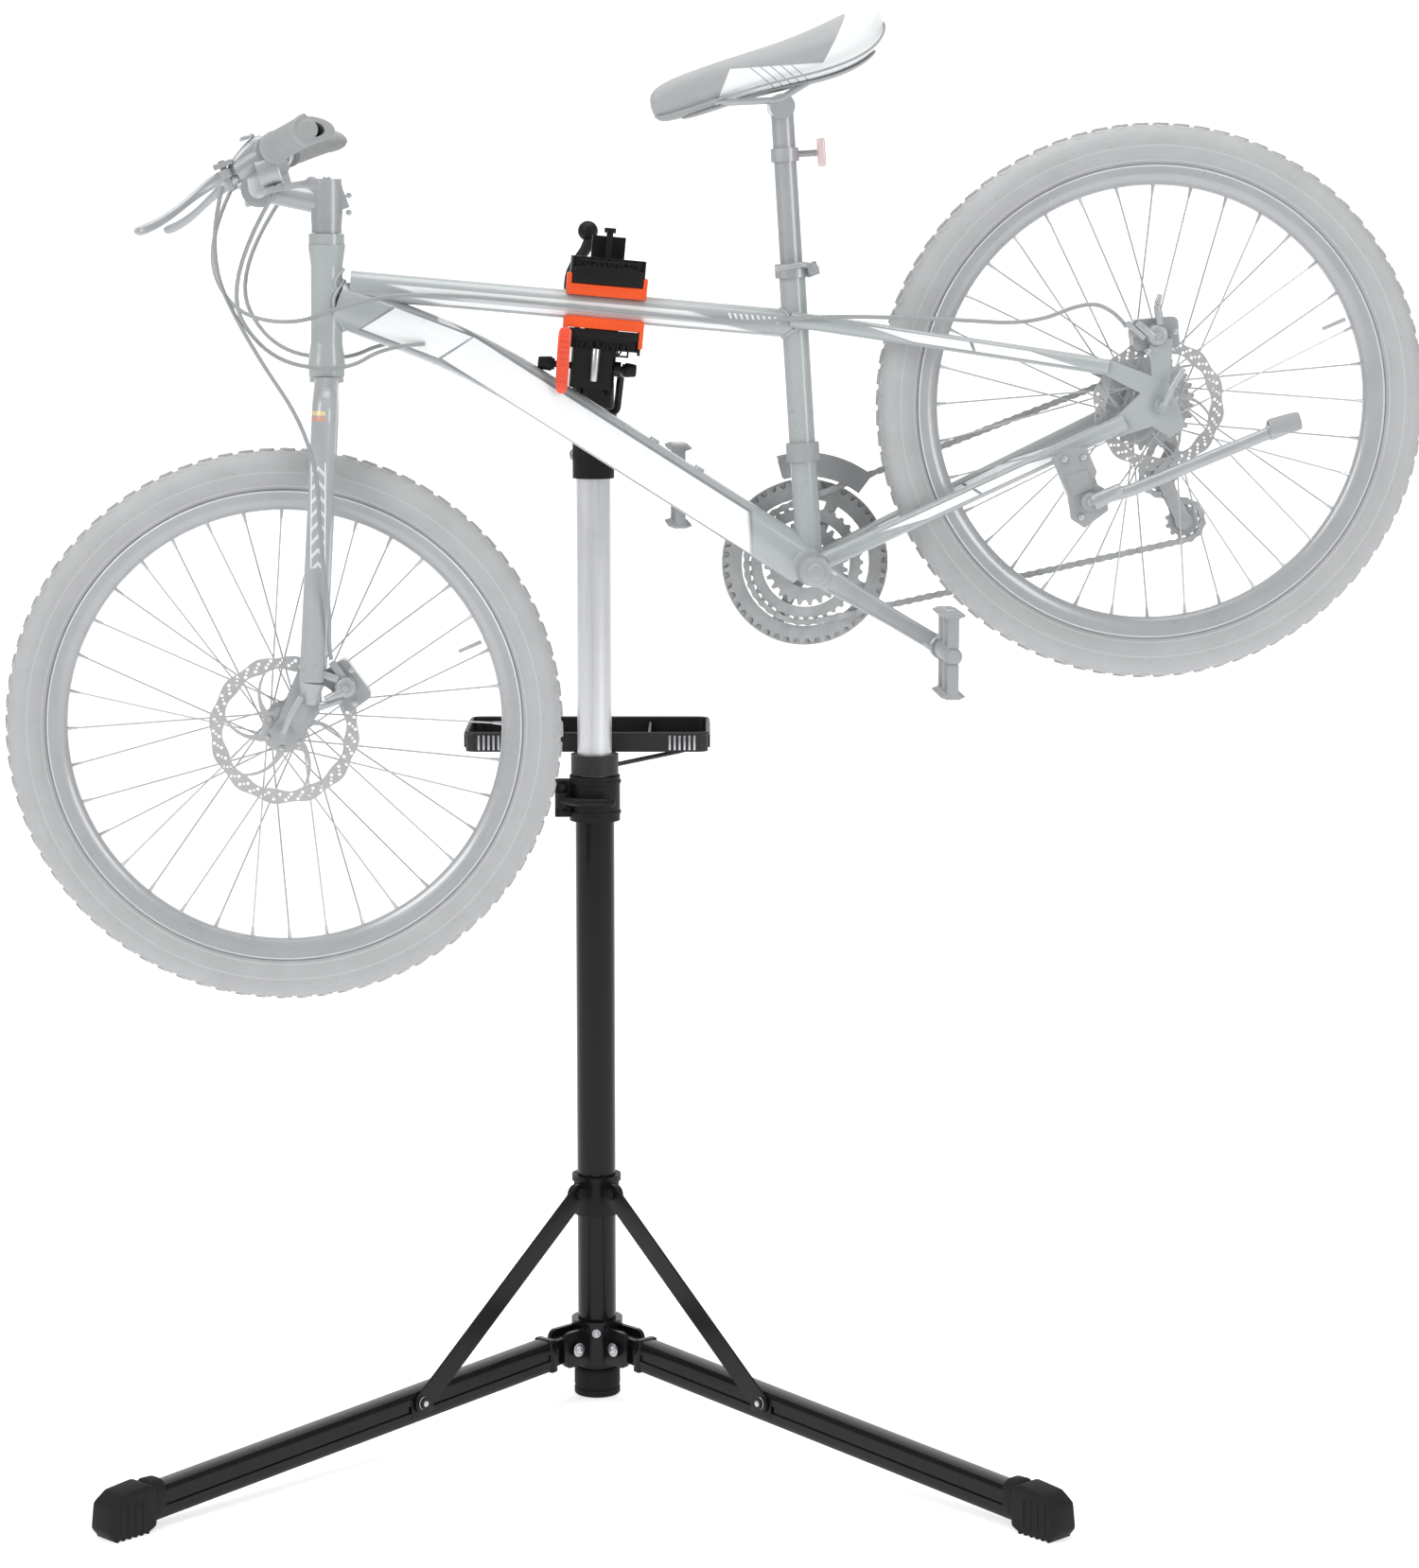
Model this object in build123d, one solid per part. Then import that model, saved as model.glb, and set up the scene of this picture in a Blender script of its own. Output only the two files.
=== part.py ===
"""A bicycle held in a folding repair stand, as separately named pieces. Units are millimetres."""
from build123d import *
import math
import os

# ---------------------------------------------------------------- stand: driving dimensions
FOOT_D = 61.0             # rubber foot cap of the column
FOOT_H = 38.0
COLUMN_R = 25.4           # outer radius of the lower column tube
COLUMN_TOP = 791.0        # height of the column tube's top end
MAST_R = 22.5             # outer radius of the sliding mast
MAST_WALL = 1.8
SLIDE_GAP = 0.08          # radial running gap of sliding and turning fits
MAST_BOTTOM = 450.0       # lower end of the mast inside the column, as it stands
MAST_TOP = 1222.0         # where the black socket starts
HEAD_Z = 1449.0           # height of the tilting head's pivot and of the arm
REACH = 360.0             # from the mast's axis to the middle of the jaws
YAW = 4.0                 # the head is turned by this much about the mast
LEG_ANGLE = 44.0          # each leg's heading, either side of -Y
LEG_PIVOT_R = 55.0        # leg pivot, from the column's axis
LEG_PIVOT_Z = 74.0
LEG_REACH = 825.0         # outer end of a leg, from the column's axis
LEG_W = 30.0
LEG_H = 42.0
FOOT_LEN = 72.0
STRUT_R = 327.0           # where a strut meets its leg, from the column's axis
STRUT_Z = 62.0
STRUT_TOP_R = 50.0        # where a strut meets the sleeve
SLEEVE_Z = 274.0          # middle of the sleeve
STRUT_TOP_Z = 284.0
STRUT_SIDE = 18.0         # sideways offset of a strut from its leg's middle plane
TRAY_L = 320.0            # tool tray
TRAY_D = 165.0
TRAY_H = 24.0
TRAY_Z = 858.0
LEVER_Z = -72.0           # hinge of the clamp's U lever, below the clamped tube's axis
RAIL_TOP = 84.0           # top of the clamp's rail, above the same axis

# ---------------------------------------------------------------- bicycle: driving dimensions
TILT = 20.2               # nose-down tilt of the bicycle in the clamp
CLAMP_X = -124.0          # the clamped spot of the top tube, from the bottom bracket
WHEEL_D = 668.0           # 26 inch tyre
TYRE_W = 50.0
TYRE_H = 50.0             # height of the tyre above the rim's flanges
RIM_R = WHEEL_D / 2 - TYRE_H
CHAINSTAY_X = 455.0       # rear axle behind the bottom bracket
BB_DROP = 41.5            # axles above the bottom bracket
FRONT_AXLE_X = -659.0
HEAD_ANGLE = 69.0
HEAD_BOTTOM = (-458.0, 0.0, 428.0)
HEAD_LEN = 142.0
SEAT_ANGLE = 73.5
SEAT_TUBE = 361.0
SEAT_TUBE_R = 15.9
SEAT_WALL = 2.2
POST_GAP = 0.1            # between the post and the seat tube
POST_R = SEAT_TUBE_R - SEAT_WALL - POST_GAP
POST_TOP = 545.0          # top of the seat post, along the seat tube from the bottom bracket
TOP_TUBE_R = 17.0
TOP_TUBE_A = (-398.0, 0.0, 507.0)
TOP_TUBE_B = (84.0, 0.0, 279.0)
CRANK = 175.0
CRANK_ANGLE = -51.0       # left crank, measured from straight back, in the bicycle's own frame
PEDAL_L = 104.0
PEDAL_W = 92.0
CHAIN_Y = 51.0            # the chain's plane
PITCH = 12.7
RING_TEETH = (24, 36, 48)
RING_Y = (44.0, 51.0, 58.0)
COG_TEETH = (28, 24, 22, 20, 18, 16, 14)
COG_STEP = 5.0
PULLEY_TEETH = 12
GUIDE_PULLEY = (446.0, -52.0)
TENSION_PULLEY = (453.0, -114.0)
ROTOR_F_R = 90.0
ROTOR_R_R = 80.0
BAR_HALF = 305.0
BOSS_S = (170.0, 234.0)   # bottle bosses, 64 mm apart along the down tube

SPINDLE_R = 8.5
CABLE_R = 2.5
KICK_PIVOT_IN = (334.0, -60.0, -34.0)
KICK_PIVOT_OUT = (334.0, -110.0, -34.0)

# ---------------------------------------------------------------- helpers


def unit(v):
    n = math.sqrt(sum(c * c for c in v))
    return tuple(c / n for c in v)


def add(p, q, k=1.0):
    return tuple(a + b * k for a, b in zip(p, q))


def rod(p, q, r, inner=0.0):
    """A straight round bar, or a tube when an inner radius is given, from p to q."""
    d = tuple(b - a for a, b in zip(p, q))
    length = math.sqrt(sum(c * c for c in d))
    plane = Plane(origin=p, z_dir=unit(d))
    body = extrude(plane * Circle(r), length)
    if inner:
        body -= extrude(plane * Circle(inner), length)
    return body


def cone(p, q, r1, r2):
    """A round bar that tapers from r1 at p to r2 at q."""
    d = tuple(b - a for a, b in zip(p, q))
    length = math.sqrt(sum(c * c for c in d))
    plane = Plane(origin=p, z_dir=unit(d))
    return plane * Cone(r1, r2, length, align=(Align.CENTER, Align.CENTER, Align.MIN))


def block(x0, x1, y0, y1, z0, z1, r=0.0):
    """A box between two corners, with its upright edges rounded when r is given."""
    b = Pos((x0 + x1) / 2, (y0 + y1) / 2, (z0 + z1) / 2) * Box(x1 - x0, y1 - y0, z1 - z0)
    if r:
        b = fillet(b.edges().filter_by(Axis.Z), r)
    return b


def disc(centre, r, t, axis="Y", inner=0.0):
    """A flat disc, centred on a point, with its axis along X, Y or Z."""
    turn = {"X": Rot(0, 90, 0), "Y": Rot(90, 0, 0), "Z": Rot(0, 0, 0)}[axis]
    d = Cylinder(r, t)
    if inner:
        d -= Cylinder(inner, t * 2)
    return Pos(*centre) * turn * d


def pipe(points, r, bend, inner=0.0):
    """A bent round bar or tube through points, with tangent arcs of radius bend."""
    line = FilletPolyline(*points, radius=bend)
    start = Plane(origin=line @ 0, z_dir=line % 0)
    body = sweep(start * Circle(r), path=line)
    if inner:
        body -= sweep(start * Circle(inner), path=line)
    return body


def bends(points):
    """The bend radius of each corner of a route: its arc takes 0.45 of the shorter run."""
    radii = []
    for a, b, c in zip(points, points[1:], points[2:]):
        u = unit(add(b, a, -1))
        v = unit(add(c, b, -1))
        cosine = max(-1.0, min(1.0, sum(i * j for i, j in zip(u, v))))
        half = math.acos(cosine) / 2
        short = min(math.dist(a, b), math.dist(b, c))
        radii.append(0.45 * short / math.tan(half))
    return radii


def cable(points, r):
    """A cable as straight runs joined by tangent arcs; also returns its route's length."""
    line = FilletPolyline(*points, radius=bends(points))
    start = Plane(origin=line @ 0, z_dir=line % 0)
    return sweep(start * Circle(r), path=line), line.length


def group(*shapes):
    """One node of several separate solids."""
    solids = []
    for s in shapes:
        solids += list(s.solids()) if hasattr(s, "solids") else list(s)
    return Compound(children=solids)


def pitch_radius(teeth):
    return PITCH / (2 * math.sin(math.pi / teeth))


# ---------------------------------------------------------------- frames
def yawed(shape):
    """Turns what is built along X and -Y to the head's own heading."""
    return Rot(0, 0, YAW) * shape


def clamp_frame():
    """Origin on the top tube's axis in the jaws, x along the tube to the rear, z up, y to the mast."""
    slope = math.degrees(math.atan2(TOP_TUBE_A[2] - TOP_TUBE_B[2], TOP_TUBE_B[0] - TOP_TUBE_A[0]))
    return Pos(0, -REACH, HEAD_Z) * Rot(0, slope - TILT, 0)


def clamp_point():
    """The clamped spot, in the bicycle's own upright frame."""
    k = (CLAMP_X - TOP_TUBE_A[0]) / (TOP_TUBE_B[0] - TOP_TUBE_A[0])
    return (CLAMP_X, 0.0, TOP_TUBE_A[2] + k * (TOP_TUBE_B[2] - TOP_TUBE_A[2]))


def bike_frame():
    """The bicycle's own frame: origin at the bottom bracket, x to the rear, z up along the frame."""
    cx, _, cz = clamp_point()
    t = math.radians(TILT)
    bx = -(cx * math.cos(t) - cz * math.sin(t))
    bz = HEAD_Z - (cx * math.sin(t) + cz * math.cos(t))
    return Rot(0, 0, YAW) * Pos(bx, -REACH, bz) * Rot(0, -TILT, 0)


def steer_dir():
    a = math.radians(HEAD_ANGLE)
    return (math.cos(a), 0.0, math.sin(a))


def steer_at(s, y=0.0, forward=0.0):
    """A point at s along the steering axis from the head tube's foot, y aside, forward ahead."""
    a = math.radians(HEAD_ANGLE)
    x = HEAD_BOTTOM[0] + s * math.cos(a) - forward * math.sin(a)
    return (x, y, HEAD_BOTTOM[2] + s * math.sin(a) + forward * math.cos(a))


def seat_at(s, back=0.0):
    """A point at s along the seat tube from the bottom bracket, back behind its axis."""
    a = math.radians(SEAT_ANGLE)
    return (s * math.cos(a) + back * math.sin(a), 0.0, s * math.sin(a) - back * math.cos(a))


def leg_frame(side):
    """Origin on the column's axis, x along a leg, z up; side is -1 for the left leg, 1 for the right."""
    return Rot(0, 0, -90 + side * LEG_ANGLE)


# ---------------------------------------------------------------- stand pieces
def foot_cap():
    cap = Pos(0, 0, FOOT_H / 2) * Cylinder(FOOT_D / 2, FOOT_H)
    cap = fillet(cap.edges().group_by(Axis.Z)[-1], 4.0)
    return cap - Pos(0, 0, 8 + FOOT_H / 2) * Cylinder(COLUMN_R, FOOT_H)


def column_tube():
    return rod((0, 0, 8), (0, 0, COLUMN_TOP), COLUMN_R, MAST_R + SLIDE_GAP)


def leg_hub():
    """A collar low on the column with two forks for the legs' tongues."""
    ring = rod((0, 0, 46), (0, 0, 104), 34.0)
    for side in (-1, 1):
        for face in (-1, 1):
            cheek = block(24, 76, min(10.6 * face, 16.6 * face), max(10.6 * face, 16.6 * face), 50, 98)
            cheek = fillet(cheek.edges().filter_by(Axis.Y).group_by(Axis.X)[-1], 12.0)
            ring += leg_frame(side) * cheek
    hub = ring - rod((0, 0, 40), (0, 0, 110), COLUMN_R)
    for side in (-1, 1):
        bolt = rod((LEG_PIVOT_R, -20, LEG_PIVOT_Z), (LEG_PIVOT_R, 20, LEG_PIVOT_Z), 5.0)
        heads = disc((LEG_PIVOT_R, -19.6, LEG_PIVOT_Z), 10, 6) + disc((LEG_PIVOT_R, 19.6, LEG_PIVOT_Z), 9, 6)
        hub += leg_frame(side) * (bolt + heads)
    return hub


def leg(side):
    """A ribbed tube with a tongue at its inner end and a rubber foot at its outer end."""
    start = LEG_PIVOT_R + 34
    end = LEG_REACH - FOOT_LEN + 22
    w = LEG_W / 2
    h = LEG_H / 2
    c = 8.0
    outline = [(-w + c, -h), (w - c, -h), (w, -h + c), (w, h - c), (w - c, h), (-w + c, h), (-w, h - c), (-w, -h + c)]
    profile = make_face(Polyline(*outline, close=True))
    inner = offset(profile, -1.6)
    tube = extrude(Plane(origin=(start, 0, 0), x_dir=(0, 1, 0), z_dir=(1, 0, 0)) * (profile - inner), end - start)
    plug = extrude(Plane(origin=(start, 0, 0), x_dir=(0, 1, 0), z_dir=(1, 0, 0)) * inner, 30)
    tongue = block(LEG_PIVOT_R, start + 1, -10, 10, -17, 17)
    tongue += disc((LEG_PIVOT_R, 0, 0), 17, 20)
    tongue -= disc((LEG_PIVOT_R, 0, 0), 5.06, 30)
    body = tube + plug + tongue
    lug_y = -side * (w + 0.4)
    lug = block(STRUT_R - 20, STRUT_R + 20, min(lug_y, 0), max(lug_y, 0), -12, 12) - \
        block(0, LEG_REACH, -w + 1.0, w - 1.0, -h + 1, h - 1)
    body += lug
    drop = math.degrees(math.asin((LEG_PIVOT_Z - 26.0) / (LEG_REACH - LEG_PIVOT_R)))
    pose = leg_frame(side) * Pos(LEG_PIVOT_R, 0, LEG_PIVOT_Z) * Rot(0, drop, 0) * Pos(-LEG_PIVOT_R, 0, 0)
    return pose * body


def leg_foot(side):
    """An angular rubber cap that stands flat on the floor."""
    x1 = LEG_REACH
    x0 = x1 - FOOT_LEN
    side_view = make_face(Polyline((x0, 6), (x0 + 14, 0), (x1 - 10, 0), (x1, 12), (x1 - 4, 44), (x1 - 22, 56),
                                   (x0 + 10, 60), (x0, 52), close=True))
    cap = extrude(Plane.XZ * side_view, 20, both=True)
    h = LEG_H / 2 + 0.02
    drop = math.degrees(math.asin((LEG_PIVOT_Z - 26.0) / (LEG_REACH - LEG_PIVOT_R)))
    hole = block(x0 - 40, LEG_REACH - FOOT_LEN + 22, -LEG_W / 2, LEG_W / 2, -h, h)
    hole = Pos(LEG_PIVOT_R, 0, LEG_PIVOT_Z) * Rot(0, drop, 0) * Pos(-LEG_PIVOT_R, 0, 0) * hole
    return leg_frame(side) * (cap - hole)


def strut(side):
    """A flat bar from the sliding sleeve to the side of a leg."""
    a = (STRUT_TOP_R, 0, STRUT_TOP_Z)
    b = (STRUT_R, 0, STRUT_Z)
    length = math.dist(a, b)
    y = -side * STRUT_SIDE
    bar = block(0, length, -2, 2, -13.5, 13.5)
    bar += disc((0, 0, 0), 13.5, 4) + disc((length, 0, 0), 13.5, 4)
    bar += disc((length, -side * 4.0, 0), 8, 4.0)
    bar -= disc((0, 0, 0), 4.06, 20)
    drop = math.degrees(math.atan2(a[2] - b[2], b[0] - a[0]))
    return leg_frame(side) * Pos(a[0], y, a[2]) * Rot(0, drop, 0) * bar


def sleeve():
    """The sliding collar that carries the struts' upper ends."""
    body = rod((0, 0, SLEEVE_Z - 27), (0, 0, SLEEVE_Z + 26), 30.0)
    body += rod((0, 0, SLEEVE_Z + 18), (0, 0, SLEEVE_Z + 26), 32.5)
    for side in (-1, 1):
        y = -side * STRUT_SIDE
        inner = y + side * 2.4
        ear = block(10, STRUT_TOP_R, min(inner, inner + side * 6), max(inner, inner + side * 6),
                    STRUT_TOP_Z - 16, STRUT_TOP_Z + 14)
        ear += disc((STRUT_TOP_R, inner + side * 3, STRUT_TOP_Z - 1), 13, 6)
        pin = rod((STRUT_TOP_R, inner, STRUT_TOP_Z), (STRUT_TOP_R, y - side * 3, STRUT_TOP_Z), 4.0)
        head = disc((STRUT_TOP_R, y - side * 4.6, STRUT_TOP_Z), 8, 4)
        body += leg_frame(side) * (ear + pin + head)
    return body - rod((0, 0, 200), (0, 0, 340), COLUMN_R + SLIDE_GAP)


def column_clamp():
    """The quick-release collar at the column's top: it grips the mast."""
    body = rod((0, 0, 775), (0, 0, 834), 33.0)
    body += block(-52, -20, -11, 11, 780, 828, 3.0)
    body -= rod((0, 0, 770), (0, 0, COLUMN_TOP), COLUMN_R + 0.03)
    body -= rod((0, 0, COLUMN_TOP), (0, 0, 840), MAST_R + SLIDE_GAP)
    body -= block(-60, -22, -1.5, 1.5, 770, 840)
    bolt = rod((-42, -11.5, 804), (-42, 20, 804), 4.0)
    nut = disc((-42, 15, 804), 8.5, 8)
    ears = block(-46, -38, -25, -10, 784, 790) + block(-46, -38, -25, -10, 818, 824)
    return body + bolt + nut + ears


def column_lever():
    """The cam lever of the column clamp, hinged on an upright pin in front of the bolt."""
    cam = rod((-42, -21, 794), (-42, -21, 814), 9.0) - rod((-42, -21, 780), (-42, -21, 830), 3.05)
    arm = pipe([(-42, -27, 804), (-22, -42, 804), (22, -43, 804)], 5.0, 12.0)
    arm += Pos(22, -43, 804) * Sphere(6.5)
    lever = cam + arm - rod((-42, -21, 780), (-42, -21, 830), 3.05)
    pin = rod((-42, -21, 785), (-42, -21, 823), 3.0)
    return lever, pin


def tray():
    """A shallow tool tray behind the mast, on a collar that turns about it."""
    y0 = 46.0
    x0 = -TRAY_L / 2 - 12
    x1 = TRAY_L / 2 - 12
    pan = block(x0, x1, y0, y0 + TRAY_D, TRAY_Z, TRAY_Z + TRAY_H, 14.0)
    pan -= block(x0 + 3, x1 - 3, y0 + 3, y0 + TRAY_D - 3, TRAY_Z + 3, TRAY_Z + TRAY_H + 5, 11.0)
    for x in (x0 + 78, x1 - 78):
        pan += block(x - 1.5, x + 1.5, y0 + 2, y0 + TRAY_D - 2, TRAY_Z + 2, TRAY_Z + TRAY_H - 4)
    for i in range(4):
        for x in (x0 + 40, x1 - 40):
            slot = block(x - 22, x + 22, y0 + 26 + 34 * i, y0 + 36 + 34 * i, TRAY_Z - 2, TRAY_Z + 5)
            pan -= slot
    collar = rod((0, 0, 836), (0, 0, 862), 31.0)
    collar += block(-24, 24, 18, y0 + 12, 838, TRAY_Z + 1)
    collar -= rod((0, 0, 800), (0, 0, 900), MAST_R + SLIDE_GAP)
    wire = pipe([(118, y0 + TRAY_D - 20, TRAY_Z - 3), (118, y0 + 40, TRAY_Z - 3), (22, y0 - 12, 842)], 3.0, 20.0)
    return pan + collar, wire


def mast_tube():
    return rod((0, 0, MAST_BOTTOM), (0, 0, MAST_TOP + 60), MAST_R, MAST_R - MAST_WALL)


def mast_head():
    """The socket on the mast with two tall cheeks for the tilting head."""
    body = rod((0, 0, MAST_TOP), (0, 0, 1345), 27.0) - rod((0, 0, MAST_TOP - 2), (0, 0, MAST_TOP + 60), MAST_R + 0.03)
    for x in (-20, 20):
        cheek = block(x - 3, x + 3, -26, 26, 1330, HEAD_Z) + disc((x, 0, HEAD_Z), 26, 6, "X")
        body += cheek
    for z in (1252, 1300):
        for x in (-1, 1):
            body += disc((27.5 * x, 0, z), 6, 4, "X")
    bolt = rod((-36, 0, HEAD_Z), (30, 0, HEAD_Z), 6.0) + disc((26.6, 0, HEAD_Z), 12, 7, "X")
    return body + bolt


def head_knuckle():
    """The tilting knuckle with the long housing that the arm turns in."""
    hub = disc((0, 0, HEAD_Z), 25, 33, "X")
    neck = block(-16.5, 16.5, -46, 0, HEAD_Z - 20, HEAD_Z + 20)
    house = rod((0, -34, HEAD_Z), (0, -118, HEAD_Z), 24.0)
    ring = rod((0, -118, HEAD_Z), (0, -128, HEAD_Z), 31.0)
    body = hub + neck + house + ring
    body -= rod((0, -42, HEAD_Z), (0, -140, HEAD_Z), 17.0 + SLIDE_GAP)
    body -= rod((-40, 0, HEAD_Z), (40, 0, HEAD_Z), 6.06)
    return body


def head_lever():
    """The cranked cam lever with a ball end that locks the head's tilt."""
    hub = disc((-30, 0, HEAD_Z), 15, 13, "X") - rod((-50, 0, HEAD_Z), (0, 0, HEAD_Z), 6.06)
    arm = pipe([(-31, 8, HEAD_Z + 8), (-31, 30, HEAD_Z + 44), (-20, 42, HEAD_Z + 80)], 5.0, 20.0)
    ball = Pos(-18, 44, HEAD_Z + 88) * Sphere(13)
    return hub + (arm - rod((-50, 0, HEAD_Z), (0, 0, HEAD_Z), 13.0)) + ball


def arm_tube():
    tube = rod((0, -44, HEAD_Z), (0, -REACH + 46, HEAD_Z), 17.0, 14.5)
    ring = rod((0, -129, HEAD_Z), (0, -141, HEAD_Z), 31.0, 17.0)
    for i in range(24):
        a = 2 * math.pi * i / 24
        ring -= rod((31 * math.cos(a), -128, HEAD_Z + 31 * math.sin(a)),
                    (31 * math.cos(a), -142, HEAD_Z + 31 * math.sin(a)), 2.0)
    socket = rod((0, -REACH + 80, HEAD_Z), (0, -REACH + 46, HEAD_Z), 23.0, 17.0)
    return tube + ring + socket


def clamp_body():
    """The clamp's rail, lower jaw and head block, in the clamp's own frame."""
    rail = block(-20, 20, 34, 46, -97, RAIL_TOP)
    jaw = block(-44, 44, -20, 34, -50, -30)
    for i in range(9):
        x = -40 + 10 * i
        jaw -= block(x - 1.5, x + 1.5, -24, -17.5, -48, -32)
    head = block(-34, 14, -22, 34, -97, -50)
    body = rail + jaw + head
    body -= rod((-80, 0, LEVER_Z), (80, 0, LEVER_Z), 4.06)
    body -= rod((0, 26, -100), (0, 26, -20), 4.05)
    pin = rod((-55, 0, LEVER_Z), (28, 0, LEVER_Z), 4.0)
    pin += rod((-57, 0, LEVER_Z), (-54, 0, LEVER_Z), 7) + rod((27, 0, LEVER_Z), (30, 0, LEVER_Z), 7)
    return body, pin


def pad(sign):
    """A soft jaw pad hollowed to the tube, with lips over the jaw."""
    z0, z1 = sorted((6.0 * sign, 30.0 * sign))
    body = block(-47.5, 47.5, -23, 22, z0, z1)
    l0, l1 = sorted((28.0 * sign, 38.0 * sign))
    body += block(-47.5, 47.5, -23, -20.02, l0, l1)
    return body - rod((-60, 0, 0), (60, 0, 0), TOP_TUBE_R + (SLIDE_GAP if sign > 0 else 0.02))


def upper_jaw():
    """The sliding jaw, wrapped round the rail."""
    jaw = block(-44, 44, -20, 33.7, 30, 58)
    for i in range(9):
        x = -40 + 10 * i
        jaw -= block(x - 1.5, x + 1.5, -24, -17.5, 32, 60)
    guide = block(-27, 27, 33, 53, 30, 56) - block(-20.3, 20.3, 33.7, 46.3, 20, 70)
    body = jaw + guide
    return body - rod((0, 26, 0), (0, 26, 90), 4.4)


def clamp_screw():
    return rod((0, 26, -97), (0, 26, RAIL_TOP + 6), 4.0) + rod((0, 26, RAIL_TOP + 4), (0, 26, RAIL_TOP + 10), 7.0)


def clamp_lever():
    """The U-shaped lever under the head block. It hangs behind the down tube."""
    loop = pipe([(-46, 0, LEVER_Z), (-43, 36, LEVER_Z - 8), (-36, 44, LEVER_Z - 54), (27, 44, LEVER_Z - 54),
                 (28, 36, LEVER_Z - 8), (21, 0, LEVER_Z)], 4.5, 8.0)
    eyes = disc((-46, 0, LEVER_Z), 9, 8, "X") + disc((21, 0, LEVER_Z), 9, 8, "X")
    return loop + eyes - rod((-80, 0, LEVER_Z), (50, 0, LEVER_Z), 4.06)


def strap():
    """A rubber strap that loops round the left end of the jaws."""
    outer = block(-50.5, -47.8, -29, 30, -60, 40)
    outer -= block(-60, -40, -23, 24, -54, 34)
    return outer


# ---------------------------------------------------------------- bicycle frame
def head_tube():
    """Round, with flared ends; the cups are pressed in."""
    body = rod(steer_at(0), steer_at(HEAD_LEN), 19.0)
    for a, b in ((0, 26), (HEAD_LEN, HEAD_LEN - 26)):
        body += cone(steer_at(a), steer_at(b), 22.5, 19.0)
    return body - rod(steer_at(-2), steer_at(HEAD_LEN + 2), 17.0)


def cups():
    lower = rod(steer_at(0), steer_at(-13), 21.5, 14.4)
    upper = rod(steer_at(HEAD_LEN), steer_at(HEAD_LEN + 13), 21.5, 14.4)
    return lower, upper


def bb_shell():
    return rod((0, -34, 0), (0, 34, 0), 21.0, 17.0)


def top_tube():
    return rod(TOP_TUBE_A, TOP_TUBE_B, TOP_TUBE_R, TOP_TUBE_R - 1.6)


def down_tube_path():
    return FilletPolyline((-420, 0, 492), (-288, 0, 379), (-4, 0, 5), radius=800)


def down_tube_core(shrink=0.0):
    """The down tube's outline as a solid, smaller all round by shrink."""
    line = down_tube_path()
    start = Plane(origin=line @ 0, x_dir=(0, 1, 0), z_dir=line % 0)
    return sweep(start * Ellipse(22 - shrink, 27.5 - shrink), path=line)


def down_tube():
    """A tall oval tube with one slow bend and two threaded bottle bosses on its upper side."""
    tube = down_tube_core()
    for s in BOSS_S:
        foot, up = boss_at(s)
        tube += rod(add(foot, up, 20), add(foot, up, 30.5), 6.5)
    tube -= down_tube_core(1.8)
    for s in BOSS_S:
        foot, up = boss_at(s)
        tube -= rod(foot, add(foot, up, 40), 2.5)
    return tube


def boss_at(s):
    """The down tube's middle at s from the bottom bracket, and the direction up into the triangle."""
    d = unit((-284.0, 0.0, 374.0))
    return (-4 + d[0] * s, 0.0, 5 + d[2] * s), (d[2], 0.0, -d[0])


def frame_front():
    """Main triangle: the tubes are welded, so each is trimmed by the ones it meets."""
    head_hole = rod(steer_at(-30), steer_at(HEAD_LEN + 30), 18.99)
    seat = rod((0, 0, 0), seat_at(SEAT_TUBE), SEAT_TUBE_R, SEAT_TUBE_R - SEAT_WALL)
    shell_hole = rod((0, -40, 0), (0, 40, 0), 20.99)
    seat_hole = rod(seat_at(-20), seat_at(SEAT_TUBE), SEAT_TUBE_R - 0.01)
    top = top_tube() - head_hole - seat_hole
    down = down_tube() - head_hole - shell_hole
    seat = seat - shell_hole
    shell = bb_shell()
    whole = head_tube() + shell + seat
    whole = whole + top
    whole = whole + down
    return whole


def stay_routes(side):
    """Routes of one side's chain stay and seat stay."""
    chain = [(14, side * 24, 3), (62, side * 30, 7), (150, side * 43, 15), (408, side * 70, 38)]
    seat = [(80, side * 16, 287), (165, side * 44, 241), (410, side * 70, 106)]
    return chain, seat


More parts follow.
